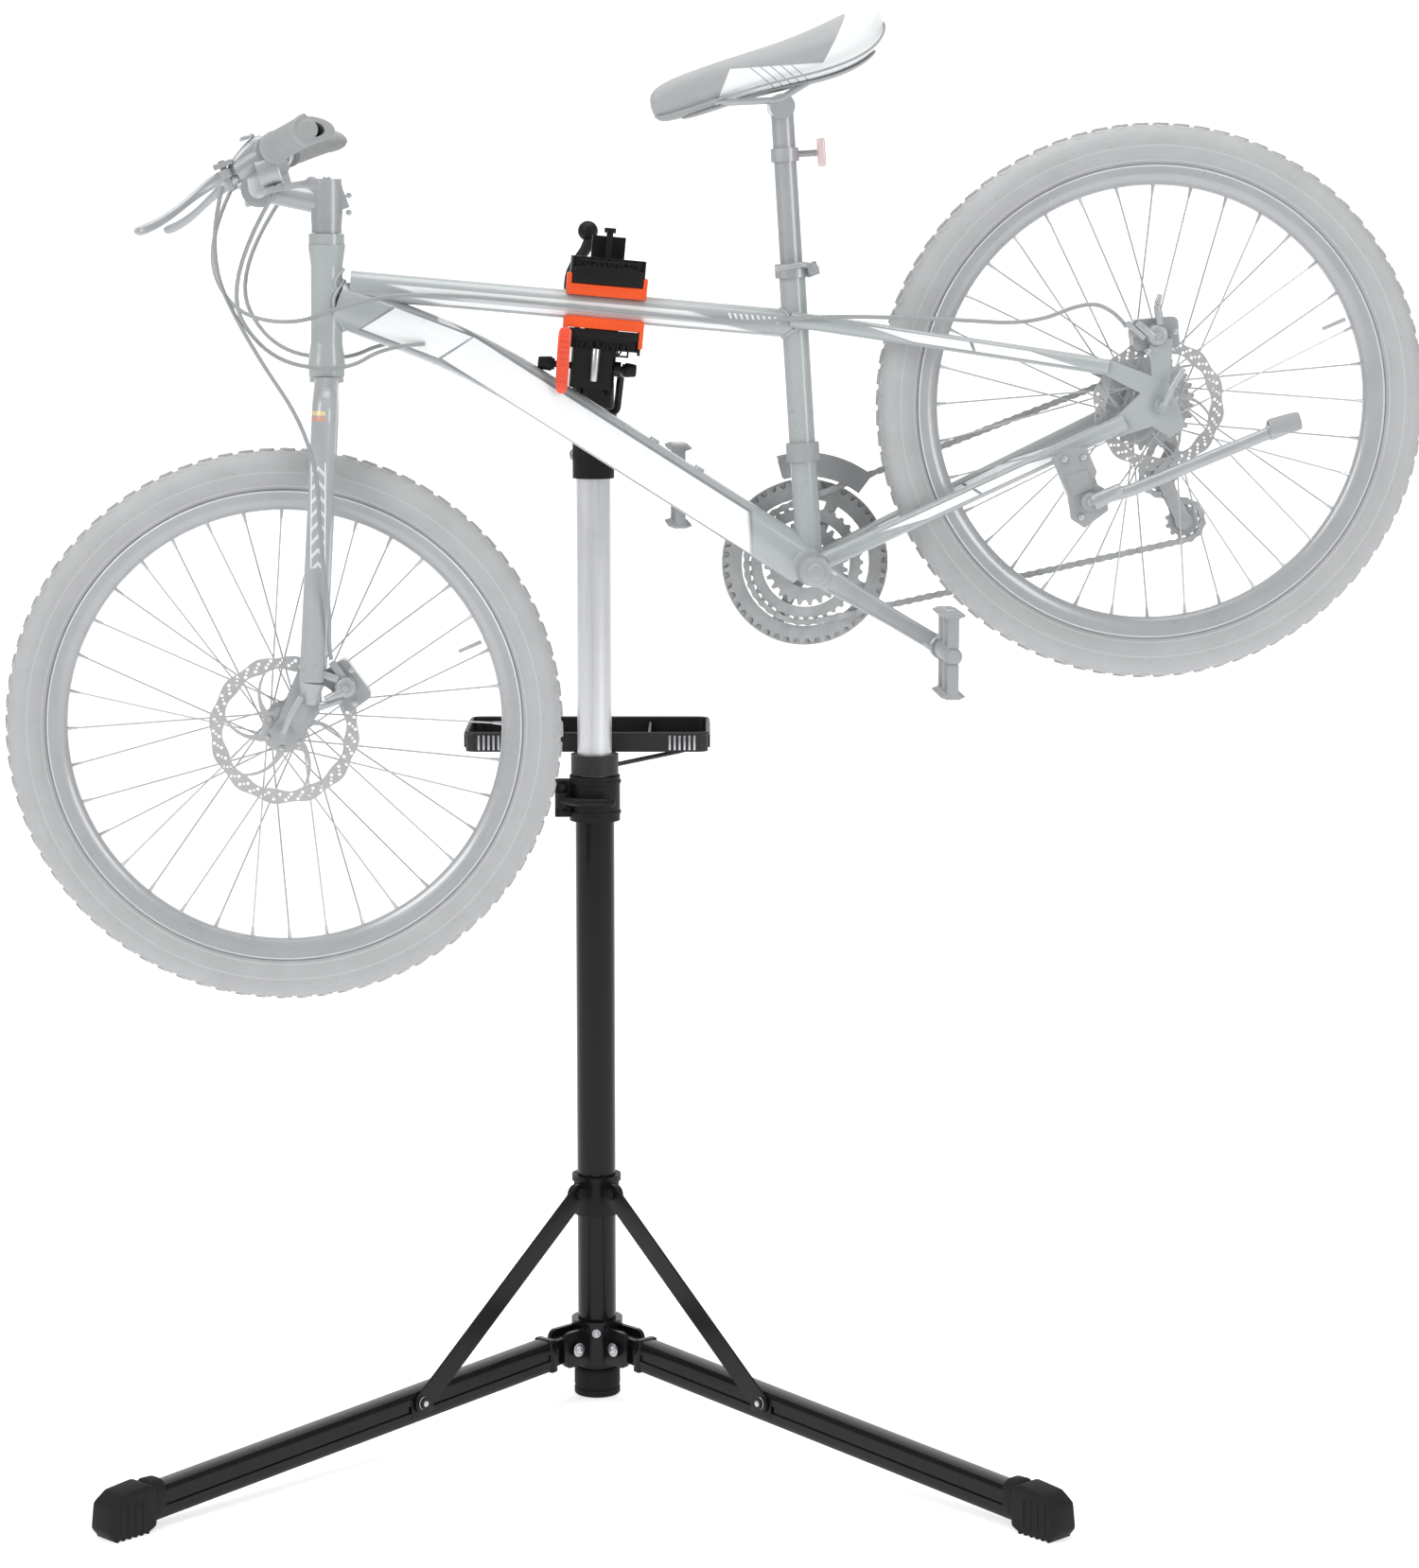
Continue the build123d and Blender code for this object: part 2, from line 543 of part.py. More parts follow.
def frame_rear():
    """Rear triangle: stays, dropouts, bridges and the kickstand's bracket."""
    plate = make_face(Polyline((396, 24), (396, 46), (436, 64), (404, 98), (412, 116), (470, 66), (474, 44),
                               (474, 8), (452, 2), (436, 22), close=True))
    flat = extrude(Plane.XZ * plate, 3.5, both=True)
    body = None
    for side in (-1, 1):
        chain, seat = stay_routes(side)
        part = pipe(chain, 10.5, 60.0, 8.5) + pipe(seat, 9.5, 60.0, 7.7) + Pos(0, side * 71, 0) * flat
        body = part if body is None else body + part
    body += rod((90, -34, 10), (90, 34, 10), 6.0)
    body += rod((146, -38, 251), (146, 38, 251), 6.0)
    tab = extrude(Plane.XZ * make_face(Polyline((450, 60), (474, 66), (494, 112), (466, 118), close=True)), 3, both=True)
    body += Pos(0, -71, 0) * tab
    bracket = block(312, 350, -85, -64, -46, 34)
    body += bracket
    body -= rod((0, -40, 0), (0, 40, 0), 21.0)
    body -= rod(seat_at(200), seat_at(SEAT_TUBE), SEAT_TUBE_R)
    body -= rod(TOP_TUBE_A, TOP_TUBE_B, TOP_TUBE_R)
    body -= down_tube_core()
    body -= rod((CHAINSTAY_X, -90, BB_DROP), (CHAINSTAY_X, 90, BB_DROP), 5.0)
    body -= rod((CHAINSTAY_X, -67.4, BB_DROP), (CHAINSTAY_X, 67.4, BB_DROP), 60.0)
    body -= rod(KICK_PIVOT_IN, KICK_PIVOT_OUT, 5.06)
    room = block(-28.4, 28.4, -13.4, 17.4, -17.4, 20.4) + rod((0, -26, 0), (0, -13, 0), 13.4)
    body -= Pos(477, -52.5, 122) * Rot(0, 15.3, 0) * room
    return max(body.solids(), key=lambda piece: piece.volume)


def wheel_parts(cx, cz, front):
    """Tyre, rim, hub shell with spokes, and rotor of one wheel."""
    c = (cx, 0, cz)
    place = Pos(*c) * Rot(90, 0, 0)
    r = WHEEL_D / 2
    tyre_line = make_face(Polyline((RIM_R - 8, 6.0), (RIM_R - 8, 10.8), (RIM_R + 1, 10.8), (RIM_R + 3, 14.0),
                                   (RIM_R + 12, 22), (r - 20, TYRE_W / 2), (r - 8, 22), (r - 2, 12), (r, 4), (r, -4),
                                   (r - 2, -12), (r - 8, -22), (r - 20, -TYRE_W / 2), (RIM_R + 12, -22),
                                   (RIM_R + 3, -14.0), (RIM_R + 1, -10.8), (RIM_R - 8, -10.8), (RIM_R - 8, -6.0),
                                   (RIM_R + 4, -9.5), (RIM_R + 15, -19.5), (r - 20, -22), (r - 9, -12), (r - 6, 0),
                                   (r - 9, 12), (r - 20, 22), (RIM_R + 15, 19.5), (RIM_R + 4, 9.5), close=True))
    tyre = place * revolve(Plane.XZ * tyre_line, Axis.Z)
    rim_line = make_face(Polyline((RIM_R, 13.0), (RIM_R - 9.2, 13.2), (RIM_R - 14, 12.4), (RIM_R - 24, 6),
                                  (RIM_R - 24, -6), (RIM_R - 14, -12.4), (RIM_R - 9.2, -13.2), (RIM_R, -13.0),
                                  (RIM_R, -10.9), (RIM_R - 11, -10.9), (RIM_R - 13, -4), (RIM_R - 13, 4),
                                  (RIM_R - 11, 10.9), (RIM_R, 10.9), close=True))
    rim = place * revolve(Plane.XZ * rim_line, Axis.Z)
    if front:
        left, right, rl, rr, half, barrel = -28.0, 33.0, 22.0, 22.0, 46.0, 15.0
    else:
        left, right, rl, rr, half, barrel = -37.0, 22.0, 24.0, 24.0, 60.0, 18.0
    hub = rod((0, left, 0), (0, right, 0), barrel)
    hub += disc((0, left, 0), rl + 5, 3.4) + disc((0, right, 0), rr + 5, 3.4)
    rotor_y = -41.0 if front else -52.5
    hub += rod((0, rotor_y + 1.2, 0), (0, left, 0), 22.0)
    hub += rod((0, -half, 0), (0, half if front else 26, 0), 11.5)
    spokes = []
    for k in range(36):
        flange = 1 if k % 2 else -1
        lean = 1 if (k // 2) % 2 else -1
        a = 2 * math.pi * k / 36
        b = a + lean * math.radians(62)
        y = right if flange > 0 else left
        hub_r = rr if flange > 0 else rl
        off = 2.6 * lean
        p = (hub_r * math.cos(b), y + off, hub_r * math.sin(b))
        reach = RIM_R - 24.5
        q = (reach * math.cos(a), 2.0 * flange, reach * math.sin(a))
        spokes.append(rod(p, q, 1.0))
    axle_r = 5.0
    hub = hub - rod((0, -90, 0), (0, 90, 0), axle_r + 0.06)
    spoke_body = hub
    spoke_body = spoke_body.fuse(*spokes)
    hub_node = Pos(*c) * spoke_body
    rotor_r = ROTOR_F_R if front else ROTOR_R_R
    ring = disc((0, rotor_y, 0), rotor_r, 2.0, inner=rotor_r - 17)
    carrier = disc((0, rotor_y, 0), 26, 2.4, inner=22.0)
    for i in range(6):
        a = math.radians(60 * i)
        b = a + math.radians(28)
        carrier += rod((24 * math.cos(a), rotor_y, 24 * math.sin(a)),
                       ((rotor_r - 14) * math.cos(b), rotor_y, (rotor_r - 14) * math.sin(b)), 2.4)
    flat = block(-120, 120, rotor_y - 1.0, rotor_y + 1.0, -120, 120)
    bore = disc((0, rotor_y, 0), 12.0, 10)
    seat = disc((0, rotor_y, 0), 26, 2.0)
    rotor = (ring + seat + (carrier & flat)) - bore
    return tyre, rim, hub_node, Pos(*c) * rotor


def axle(front):
    """Skewer with its nuts; it stays with the fork or frame."""
    cx = FRONT_AXLE_X if front else CHAINSTAY_X
    cz = 42.0 if front else BB_DROP
    half = 50.0 if front else 67.5
    out = half + 7.0
    body = rod((cx, -out - 14, cz), (cx, out + 12, cz), 5.0)
    for s in (-1, 1):
        body += rod((cx, s * (half - 3.4), cz), (cx, s * half, cz), 9.0)
        body += rod((cx, s * out, cz), (cx, s * (out + 8), cz), 9.5)
    lever = pipe([(cx, -out - 12, cz), (cx + 14, -out - 17, cz + 16), (cx + 36, -out - 17, cz + 34)], 3.6, 10.0)
    return body + lever


def fork():
    """Steerer, unicrown blades and front dropouts."""
    steerer = rod(steer_at(-16), steer_at(HEAD_LEN + 68), 14.3, 12.0)
    race = rod(steer_at(-13.4), steer_at(-20), 20.5, 12.0)
    above = rod(steer_at(-13.4), steer_at(40), 80.0)
    body = steerer + race
    bores = []
    for side in (-1, 1):
        route = [steer_at(-19, side * 10, 0), steer_at(-46, side * 50, 1), steer_at(-372, side * 62, 16)]
        body += pipe(route, 15.0, 38.0) - above
        low = steer_at(-372, side * 62, 16)
        body += cone(low, steer_at(-398, side * 61, 19), 15.0, 10.0)
        bores.append(pipe([steer_at(-40, side * 36, 0), steer_at(-56, side * 51, 1), route[2]], 12.6, 20.0))
        x, _, z = steer_at(-392, 0, 18)
        flat = extrude(Plane.XZ * make_face(Polyline((x - 2, z + 34), (x + 16, z + 16), (x + 4, z - 20),
                                                     (-650, 24), (-672, 30), (-676, 48), (-660, 58),
                                                     close=True)), 3.5, both=True)
        body += Pos(0, side * 53.5, 0) * flat
    body += block(-606, -570, -57.4, -54.02, 80.6, 94)
    for bore in bores:
        body -= bore
    body -= rod((FRONT_AXLE_X, -90, 42), (FRONT_AXLE_X, 90, 42), 5.0)
    body -= rod((FRONT_AXLE_X, -49.9, 42), (FRONT_AXLE_X, 49.9, 42), 30.0)
    body -= rod(steer_at(-70), steer_at(HEAD_LEN + 80), 12.0)
    return body


def stem():
    """Threadless stem, with spacers below it and a cap on top."""
    clamp = rod(steer_at(168), steer_at(212), 18.5)
    bar = (-458.0, 0.0, 648.0)
    reach = rod(steer_at(190), bar, 14.0)
    ring = rod((-458, -23, 648), (-458, 23, 648), 21.0)
    body = clamp + reach + ring
    back = add(steer_at(190), (20, 0, 4))
    body += block(back[0] - 12, back[0] + 4, -9, 9, back[2] - 17, back[2] + 17)
    body -= rod(steer_at(140), steer_at(260), 14.33)
    body -= rod((-458, -30, 648), (-458, 30, 648), 12.73)
    body -= rod(steer_at(212), steer_at(260), 19.0)
    spacer = rod(steer_at(155.4), steer_at(168), 18.0, 14.33)
    cap = rod(steer_at(212), steer_at(219), 18.0)
    plug = rod(steer_at(195), steer_at(212), 11.9)
    return group(body, spacer, cap + plug)


def bar_route():
    half = BAR_HALF
    right = [(-458, 0, 648), (-458, 48, 648), (-446, 96, 681), (-374, half, 684)]
    left = [(x, -y, z) for x, y, z in reversed(right[1:])]
    return left + right[1:]


def handlebar():
    pts = bar_route()
    line = FilletPolyline(*pts, radius=28)
    start = Plane(origin=line @ 0, z_dir=line % 0)
    body = sweep(start * Circle(11.1), path=line)
    body += rod((-458, -40, 648), (-458, 40, 648), 12.7)
    return body - sweep(start * Circle(9.2), path=line)


def bar_point(y):
    """A point of the bar's outer straight part and the direction out along it."""
    side = 1 if y > 0 else -1
    a = (-446.0, 96.0 * side, 681.0)
    b = (-374.0, BAR_HALF * side, 684.0)
    k = (abs(y) - 96.0) / (BAR_HALF - 96.0)
    return add(a, tuple(j - i for i, j in zip(a, b)), k), unit(tuple(j - i for i, j in zip(a, b)))


def grips():
    out = []
    for side in (-1, 1):
        a, d = bar_point(side * 178)
        b = add(a, d, 134)
        g = rod(a, b, 16.5) + rod(b, add(b, d, 5), 18.0) + rod(a, add(a, d, 6), 18.0)
        g += cone(add(a, d, 50), b, 16.5, 18.5)
        out.append(g - rod(add(a, d, -1), add(a, d, 135.01), 11.1))
    return group(*out)


def lever_mount(side):
    """Clamp band and body that carry a brake lever and a gear trigger."""
    p, d = bar_point(side * 150)
    band = rod(add(p, d, -7), add(p, d, 7), 16.5)
    arm = rod(p, (-470, side * 152, 672), 10.0)
    horn = rod((-470, side * 152, 672), (-486, side * 130, 668), 8.0)
    pod = rod(add(p, (4, 0, -22)), add(p, (-20, 0, -20)), 17.0)
    body = band + arm + horn + pod
    body -= rod(add(p, d, -60), add(p, d, 60), 11.1)
    body -= rod((-482, side * 152, 640), (-482, side * 152, 700), 4.06)
    body -= block(-520, -470, side * 152 - 12, side * 152 + 12, 668, 680)
    pin = rod((-482, side * 152, 655), (-482, side * 152, 690), 4.0)
    stop = block(-492, -470, side * 152 - 8, side * 152 + 8, 682, 688)
    return body, pin, stop


def brake_lever(side):
    """The blade, hinged on an upright pin of its mount."""
    p = (-482, side * 152, 674)
    route = [(-482, side * 152, 674), (-520, side * 168, 664), (-552, side * 200, 652), (-590, side * 236, 646)]
    blade = pipe(route, 5.0, 24.0)
    eye = rod((-482, side * 152, 669), (-482, side * 152, 679), 9.0)
    tip = Pos(*route[-1]) * Sphere(7.0)
    body = blade + eye + tip
    return body - rod((-482, side * 152, 600), (-482, side * 152, 720), 4.06)


def shift_lever(side):
    """A thumb trigger under the bar."""
    p, d = bar_point(side * 150)
    base = add(p, (-8, 0, -42))
    arm = rod(base, add(base, (40, side * 14, -8)), 4.0) + Pos(*add(base, (42, side * 15, -9))) * Sphere(7.5)
    return rod(add(base, (0, 0, -4)), add(base, (0, 0, 2.6)), 12.0) + arm


def disc_caliper(x, z, y, angle):
    """A caliper body slotted over its rotor."""
    body = block(-28, 28, -13, 13.5, -17, 20)
    body = fillet(body.edges().filter_by(Axis.Y), 7)
    body -= block(-40, 40, -2.2, 2.2, -30, 12)
    piston = rod((0, -24, 0), (0, -13, 0), 13.0)
    arm = block(-34, -8, -22, -18, 0, 9)
    return Pos(x, y, z) * Rot(0, angle, 0) * (body + piston + arm)


def cassette():
    """Seven cogs and their body, as one stack."""
    first = CHAIN_Y - COG_STEP * 4
    stack = None
    for i, teeth in enumerate(COG_TEETH):
        y = first + COG_STEP * i
        r = pitch_radius(teeth) - (4.7 if teeth == 18 else 1.0)
        cog = rod((CHAINSTAY_X, y - 0.9, BB_DROP), (CHAINSTAY_X, y + 0.9, BB_DROP), r)
        stack = cog if stack is None else stack + cog
    stack += rod((CHAINSTAY_X, 26.4, BB_DROP), (CHAINSTAY_X, 63.6, BB_DROP), 19.0)
    return stack - rod((CHAINSTAY_X, 0, BB_DROP), (CHAINSTAY_X, 90, BB_DROP), 5.06)


def chainrings():
    """Three rings on a spider, with a round guard outside them."""
    body = None
    for teeth, y in zip(RING_TEETH, RING_Y):
        r = pitch_radius(teeth) - (4.7 if teeth == 36 else 1.0)
        ring = disc((0, y, 0), r, 2.0, inner=r - 18.0)
        body = ring if body is None else body + ring
    guard = disc((0, 62.4, 0), 102.0, 2.4, inner=80.0)
    body += guard
    for i in range(4):
        turn = Rot(0, 45 + 90 * i, 0)
        arm = block(10, 90, 58.9, 61.3, -8, 8)
        low = rod((40, 43, 0), (40, 60, 0), 4.0)
        mid = rod((60, 50, 0), (60, 60, 0), 4.5)
        body += turn * (arm + low + mid)
    body += rod((0, 48.5, 0), (0, 65.3, 0), 20.0)
    return body - rod((0, 30, 0), (0, 90, 0), SPINDLE_R)


def crank_end(side):
    a = math.radians(CRANK_ANGLE + (0 if side < 0 else 180))
    return (CRANK * math.cos(a), 0.0, CRANK * math.sin(a))


def crank_arms():
    """Both arms and the spindle between them, as one solid."""
    body = rod((0, -70, 0), (0, 70, 0), SPINDLE_R)
    for side in (-1, 1):
        ex, _, ez = crank_end(side)
        a = (0, side * 75, 0)
        b = (ex, side * 83, ez)
        arm = rod(a, b, 9.5)
        arm += rod((0, side * 66.5, 0), (0, side * 83, 0), 19.0)
        arm += rod((ex, side * 74, ez), (ex, side * 91, ez), 15.0)
        body += arm
        body -= rod((ex, side * 60, ez), (ex, side * 100, ez), 7.06)
    return body


def bearings():
    """Cups that carry the spindle, pressed in the shell."""
    out = []
    for side in (-1, 1):
        out.append(rod((0, side * 22, 0), (0, side * 36, 0), 17.0, SPINDLE_R + 0.06))
    return group(*out)


def pedal(side):
    """A platform pedal hanging from its axle, long side upright."""
    ex, _, ez = crank_end(side)
    axle_bar = rod((0, side * 74.5, 0), (0, side * 196, 0), 7.0)
    y0, y1 = sorted((side * 100.0, side * (100.0 + PEDAL_W)))
    frame = block(-PEDAL_L / 2, PEDAL_L / 2, y0, y1, -12, 12)
    frame -= block(-PEDAL_L / 2 + 9, -15, y0 + 9, y1 - 9, -14, 14) + block(15, PEDAL_L / 2 - 9, y0 + 9, y1 - 9, -14, 14)
    for i in range(4):
        y = y0 + 14 + 21 * i
        for x in (-PEDAL_L / 2 + 4, PEDAL_L / 2 - 4):
            frame += block(x - 2.5, x + 2.5, y - 3, y + 3, -15, 15)
    body = axle_bar + frame
    return Pos(ex, 0, ez) * Rot(0, TILT + 90, 0) * body


def chain_route():
    """Circles the chain wraps, in order along its travel, with the side each is passed on."""
    r36 = pitch_radius(36)
    r18 = pitch_radius(18)
    rp = pitch_radius(PULLEY_TEETH)
    return [((0.0, 0.0), r36, 1), ((TENSION_PULLEY[0], TENSION_PULLEY[1]), rp, 1),
            ((GUIDE_PULLEY[0], GUIDE_PULLEY[1]), rp, -1), ((CHAINSTAY_X, BB_DROP), r18, 1)]


def tangent(c1, r1, s1, c2, r2, s2):
    """The straight run that leaves circle 1 and meets circle 2; s is 1 for anticlockwise."""
    dx, dz = c2[0] - c1[0], c2[1] - c1[1]
    d = math.hypot(dx, dz)
    base = math.atan2(dz, dx)
    k = (s1 * r1 - s2 * r2) / d
    turn = math.asin(k)
    heading = base + turn
    nx, nz = math.sin(heading), -math.cos(heading)
    p = (c1[0] + nx * r1 * s1, c1[1] + nz * r1 * s1)
    q = (c2[0] + nx * r2 * s2, c2[1] + nz * r2 * s2)
    return p, q


def chain():
    """The closed chain as a plain band: straight runs and arcs that share their end faces."""
    loop = chain_route()
    n = len(loop)
    half_w = 3.6
    half_h = 4.3
    runs = []
    for i in range(n):
        c1, r1, s1 = loop[i]
        c2, r2, s2 = loop[(i + 1) % n]
        runs.append(tangent(c1, r1, s1, c2, r2, s2))
    parts = []
    for i in range(n):
        p, q = runs[i]
        length = math.dist(p, q)
        ang = math.degrees(math.atan2(q[1] - p[1], q[0] - p[0]))
        bar = block(0, length, -half_w, half_w, -half_h, half_h)
        parts.append(Pos(p[0], CHAIN_Y, p[1]) * Rot(0, -ang, 0) * bar)
        c, r, s = loop[(i + 1) % n]
        q0 = runs[i][1]
        p1 = runs[(i + 1) % n][0]
        a0 = math.degrees(math.atan2(q0[1] - c[1], q0[0] - c[0]))
        a1 = math.degrees(math.atan2(p1[1] - c[1], p1[0] - c[0]))
        sweep_deg = (a1 - a0) % 360 if s > 0 else (a0 - a1) % 360
        start = a0 if s > 0 else a1
        section = Plane.XZ * Pos(r, 0) * Rectangle(half_h * 2, half_w * 2)
        arc = revolve(section, Axis.Z, revolution_arc=sweep_deg)
        parts.append(Pos(c[0], CHAIN_Y, c[1]) * Rot(0, -start, 0) * Rot(90, 0, 0) * arc)
    body = parts[0]
    for piece in parts[1:]:
        body = body + piece
    return body


def rear_derailleur():
    """The body from the hanger down to the cage's pivot."""
    hang = rod((466, 74.6, 4), (466, 82, 4), 8.0)
    link = rod((467, 84, -2), (476, 76, -30), 9.0)
    knuckle = rod((476, 76, -30), (452, 74, -52), 10.0)
    pivot = rod((446, 60.5, -52), (446, 78, -52), 10.0)
    body = hang + link + knuckle + pivot
    return body - rod((446, 50, -52), (446, 90, -52), 4.06)


def derailleur_cage():
    """Two plates with the pulleys between them."""
    body = None
    for y in (46.2, 55.8):
        for a, b in ((GUIDE_PULLEY, TENSION_PULLEY),):
            plate = block(-9, 9, y - 0.8, y + 0.8, -math.dist(a, b), 0)
            ang = math.degrees(math.atan2(a[0] - b[0], a[1] - b[1]))
            plate = Pos(a[0], 0, a[1]) * Rot(0, ang, 0) * plate
            plate += disc((a[0], y, a[1]), 11, 1.6) + disc((b[0], y, b[1]), 11, 1.6)
            body = plate if body is None else body + plate
    for c in (GUIDE_PULLEY, TENSION_PULLEY):
        body += rod((c[0], 46, c[1]), (c[0], 57, c[1]), 3.0)
    body += rod((446, 56, -52), (446, 76, -52), 4.0)
    return body


def pulley(c):
    r = pitch_radius(PULLEY_TEETH) - 4.7
    return disc((c[0], CHAIN_Y, c[1]), r, 3.0) + disc((c[0], CHAIN_Y, c[1]), 9, 7.0) - \
        disc((c[0], CHAIN_Y, c[1]), 3.06, 20)


def front_derailleur():
    """Band on the seat tube, link and a curved cage over the rings."""
    band = rod(seat_at(128), seat_at(150), 20.0)
    cage = None
    for y in (44.6, 65.6):
        section = Plane.XZ * Pos(120, 0) * Rectangle(28, 1.6)
        arc = revolve(section, Axis.Z, revolution_arc=52)
        plate = Pos(0, y, 0) * Rot(0, -33, 0) * Rot(90, 0, 0) * arc
        cage = plate if cage is None else cage + plate
    top = revolve(Plane.XZ * Pos(131, 0) * Rectangle(4, 21), Axis.Z, revolution_arc=20)
    cage += Pos(0, 55.1, 0) * Rot(0, -65, 0) * Rot(90, 0, 0) * top
    x, _, z = seat_at(139)
    link = rod((x, 17, z), (x - 6, 50, 131), 6.0)
    return band + link + cage - rod(seat_at(100), seat_at(200), SEAT_TUBE_R + 0.03)


def seat_post():
    """Post with the saddle clamp and two rails."""
    post = rod(seat_at(200), seat_at(POST_TOP), POST_R, POST_R - 2.4)
    cap = seat_at(POST_TOP)
    head = rod((cap[0], -24, cap[2] + 4), (cap[0], 24, cap[2] + 4), 15.0)
    return post + head + rails(3.5)


def rails(r):
    """The saddle's two rails."""
    cap = seat_at(POST_TOP)
    body = None
    for side in (-1, 1):
        y = side * 22
        route = [(70, side * 12, 566), (96, y, 553), (cap[0], y, cap[2] + 12), (230, y, 549), (262, side * 34, 562)]
        rail = pipe(route, r, 16.0)
        body = rail if body is None else body + rail
    return body


def saddle():
    """A padded saddle: loft of rounded sections from nose to tail."""
    stations = [(18, 22, 567, 584), (48, 30, 562, 598), (110, 42, 556, 594), (170, 74, 552, 592),
                (228, 128, 548, 596), (275, 156, 548, 603), (302, 120, 560, 598)]
    faces = []
    for x, w, z0, z1 in stations:
        h = z1 - z0
        plane = Plane(origin=(x, 0, (z0 + z1) / 2), x_dir=(0, 1, 0), z_dir=(1, 0, 0))
        faces.append(plane * RectangleRounded(w, h, min(w, h) * 0.42))
    body = loft(faces, ruled=True)
    skirt = None
    for side in (-1, 1):
        wing = block(196, 296, min(side * 52, side * 66), max(side * 52, side * 66), 532, 566)
        skirt = wing if skirt is None else skirt + wing
    under = block(20, 300, -14, 14, 560, 570)
    body = body + skirt
    return body + under - rails(3.52)


def seat_clamp():
    """Quick-release collar at the seat tube's top."""
    ring = rod(seat_at(SEAT_TUBE - 14), seat_at(SEAT_TUBE + 3), SEAT_TUBE_R + 4.6)
    x, _, z = seat_at(SEAT_TUBE - 6, 22)
    ring += block(x - 6, x + 9, -10, 10, z - 8, z + 8)
    ring -= rod(seat_at(SEAT_TUBE - 20), seat_at(SEAT_TUBE), SEAT_TUBE_R + 0.03)
    ring -= rod(seat_at(SEAT_TUBE - 1), seat_at(SEAT_TUBE + 10), POST_R + SLIDE_GAP)
    ring += rod((x + 2, -23, z), (x + 2, 16, z), 3.0)
    ring += rod((x + 2, 10, z), (x + 2, 15, z), 6.5)
    return ring - rod(seat_at(SEAT_TUBE - 20), seat_at(SEAT_TUBE), SEAT_TUBE_R + 0.03)


def seat_lever():
    x, _, z = seat_at(SEAT_TUBE - 6, 22)
    cam = rod((x + 2, -23, z), (x + 2, -13, z), 7.0) - rod((x + 2, -30, z), (x + 2, 0, z), 3.06)
    arm = pipe([(x + 2, -19, z + 4), (x - 8, -28, z + 10), (x - 40, -29, z + 16)], 3.4, 8.0)
    return cam + (arm - rod((x + 2, -30, z), (x + 2, 0, z), 6.0))


def reflector():
    """A round-cornered reflector behind the seat post, on a band."""
    x, _, z = seat_at(492)
    band = rod(seat_at(484), seat_at(500), POST_R + 3.2) - rod(seat_at(480), seat_at(504), POST_R + 0.03)
    arm = rod(seat_at(492, 15), seat_at(492, 38), 4.0)
    plate = block(-4, 4, -24, 24, -16, 16)
    plate = fillet(plate.edges().filter_by(Axis.X), 6)
    px, _, pz = seat_at(492, 42)
    return band + arm + Pos(px, 0, pz) * Rot(0, 90 - SEAT_ANGLE, 0) * plate


def kickstand():
    """The prop leg, stowed back along the chain stay."""
    pivot = (334.0, -92.5, -34.0)
    eye = rod((334, -99, -34), (334, -86.4, -34), 11.0) - rod(KICK_PIVOT_IN, KICK_PIVOT_OUT, 5.06)
    legbar = pipe([(340, -93, -34), (384, -96, -38), (588, -100, -30)], 7.5, 30.0)
    legbar -= rod((334, -120, -34), (334, -60, -34), 9.0)
    foot = rod((560, -99, -31), (597, -100, -29.6), 10.0)
    return eye + legbar + foot


def kick_pin():
    return rod((334, -66, -34), (334, -101, -34), 5.0)


# ---------------------------------------------------------------- cables
def cable_routes():
    """Routes of the cables: three cross from the handlebar to the frame, one runs down the fork."""
    rear_brake = [(-508, 121, 652), (-548, 104, 612), (-545, 16, 528), (-480, -30, 488), (-410, -34, 488),
                  (-330, -19.8, 474.1), (30, -19.8, 299.8), (92, -34, 286), (160, -52, 262), (250, -66, 226),
                  (340, -80, 186), (412, -84, 190), (440, -76, 164), (446, -72.5, 144)]
    gear_rear = [(-504, 132, 603), (-530, 122, 570), (-520, 74, 470), (-440, 40, 424), (-380, 30, 430),
                 (-340, 22.9, 412)]
    gear_front = [(-504, -132, 603), (-534, -120, 560), (-520, -72, 460), (-440, -40, 414), (-384, -30, 426),
                  (-340, -22.9, 412)]
    front_brake = [(-489, -131, 666), (-538, -112, 600), (-532, -90, 490), (-499, -84.5, 352), (-540, -84, 226),
                   (-556, -78, 156), (-572, -65, 120), (-575, -62, 103.5)]
    return {"rear_brake": rear_brake, "gear_rear": gear_rear, "gear_front": gear_front, "front_brake": front_brake}


def cables(names, show=False):
    """The named cables as separate solids; prints each one's bend radii and volume check."""
    routes = cable_routes()
    out = []
    for name in names:
        shape, length = cable(routes[name], CABLE_R)
        out.append(shape)
        if show:
            ratio = shape.volume / (math.pi * CABLE_R ** 2 * length)
            print("cable", name, "radii", [round(r, 1) for r in bends(routes[name])], "volume ratio", round(ratio, 4))
    return group(*out)


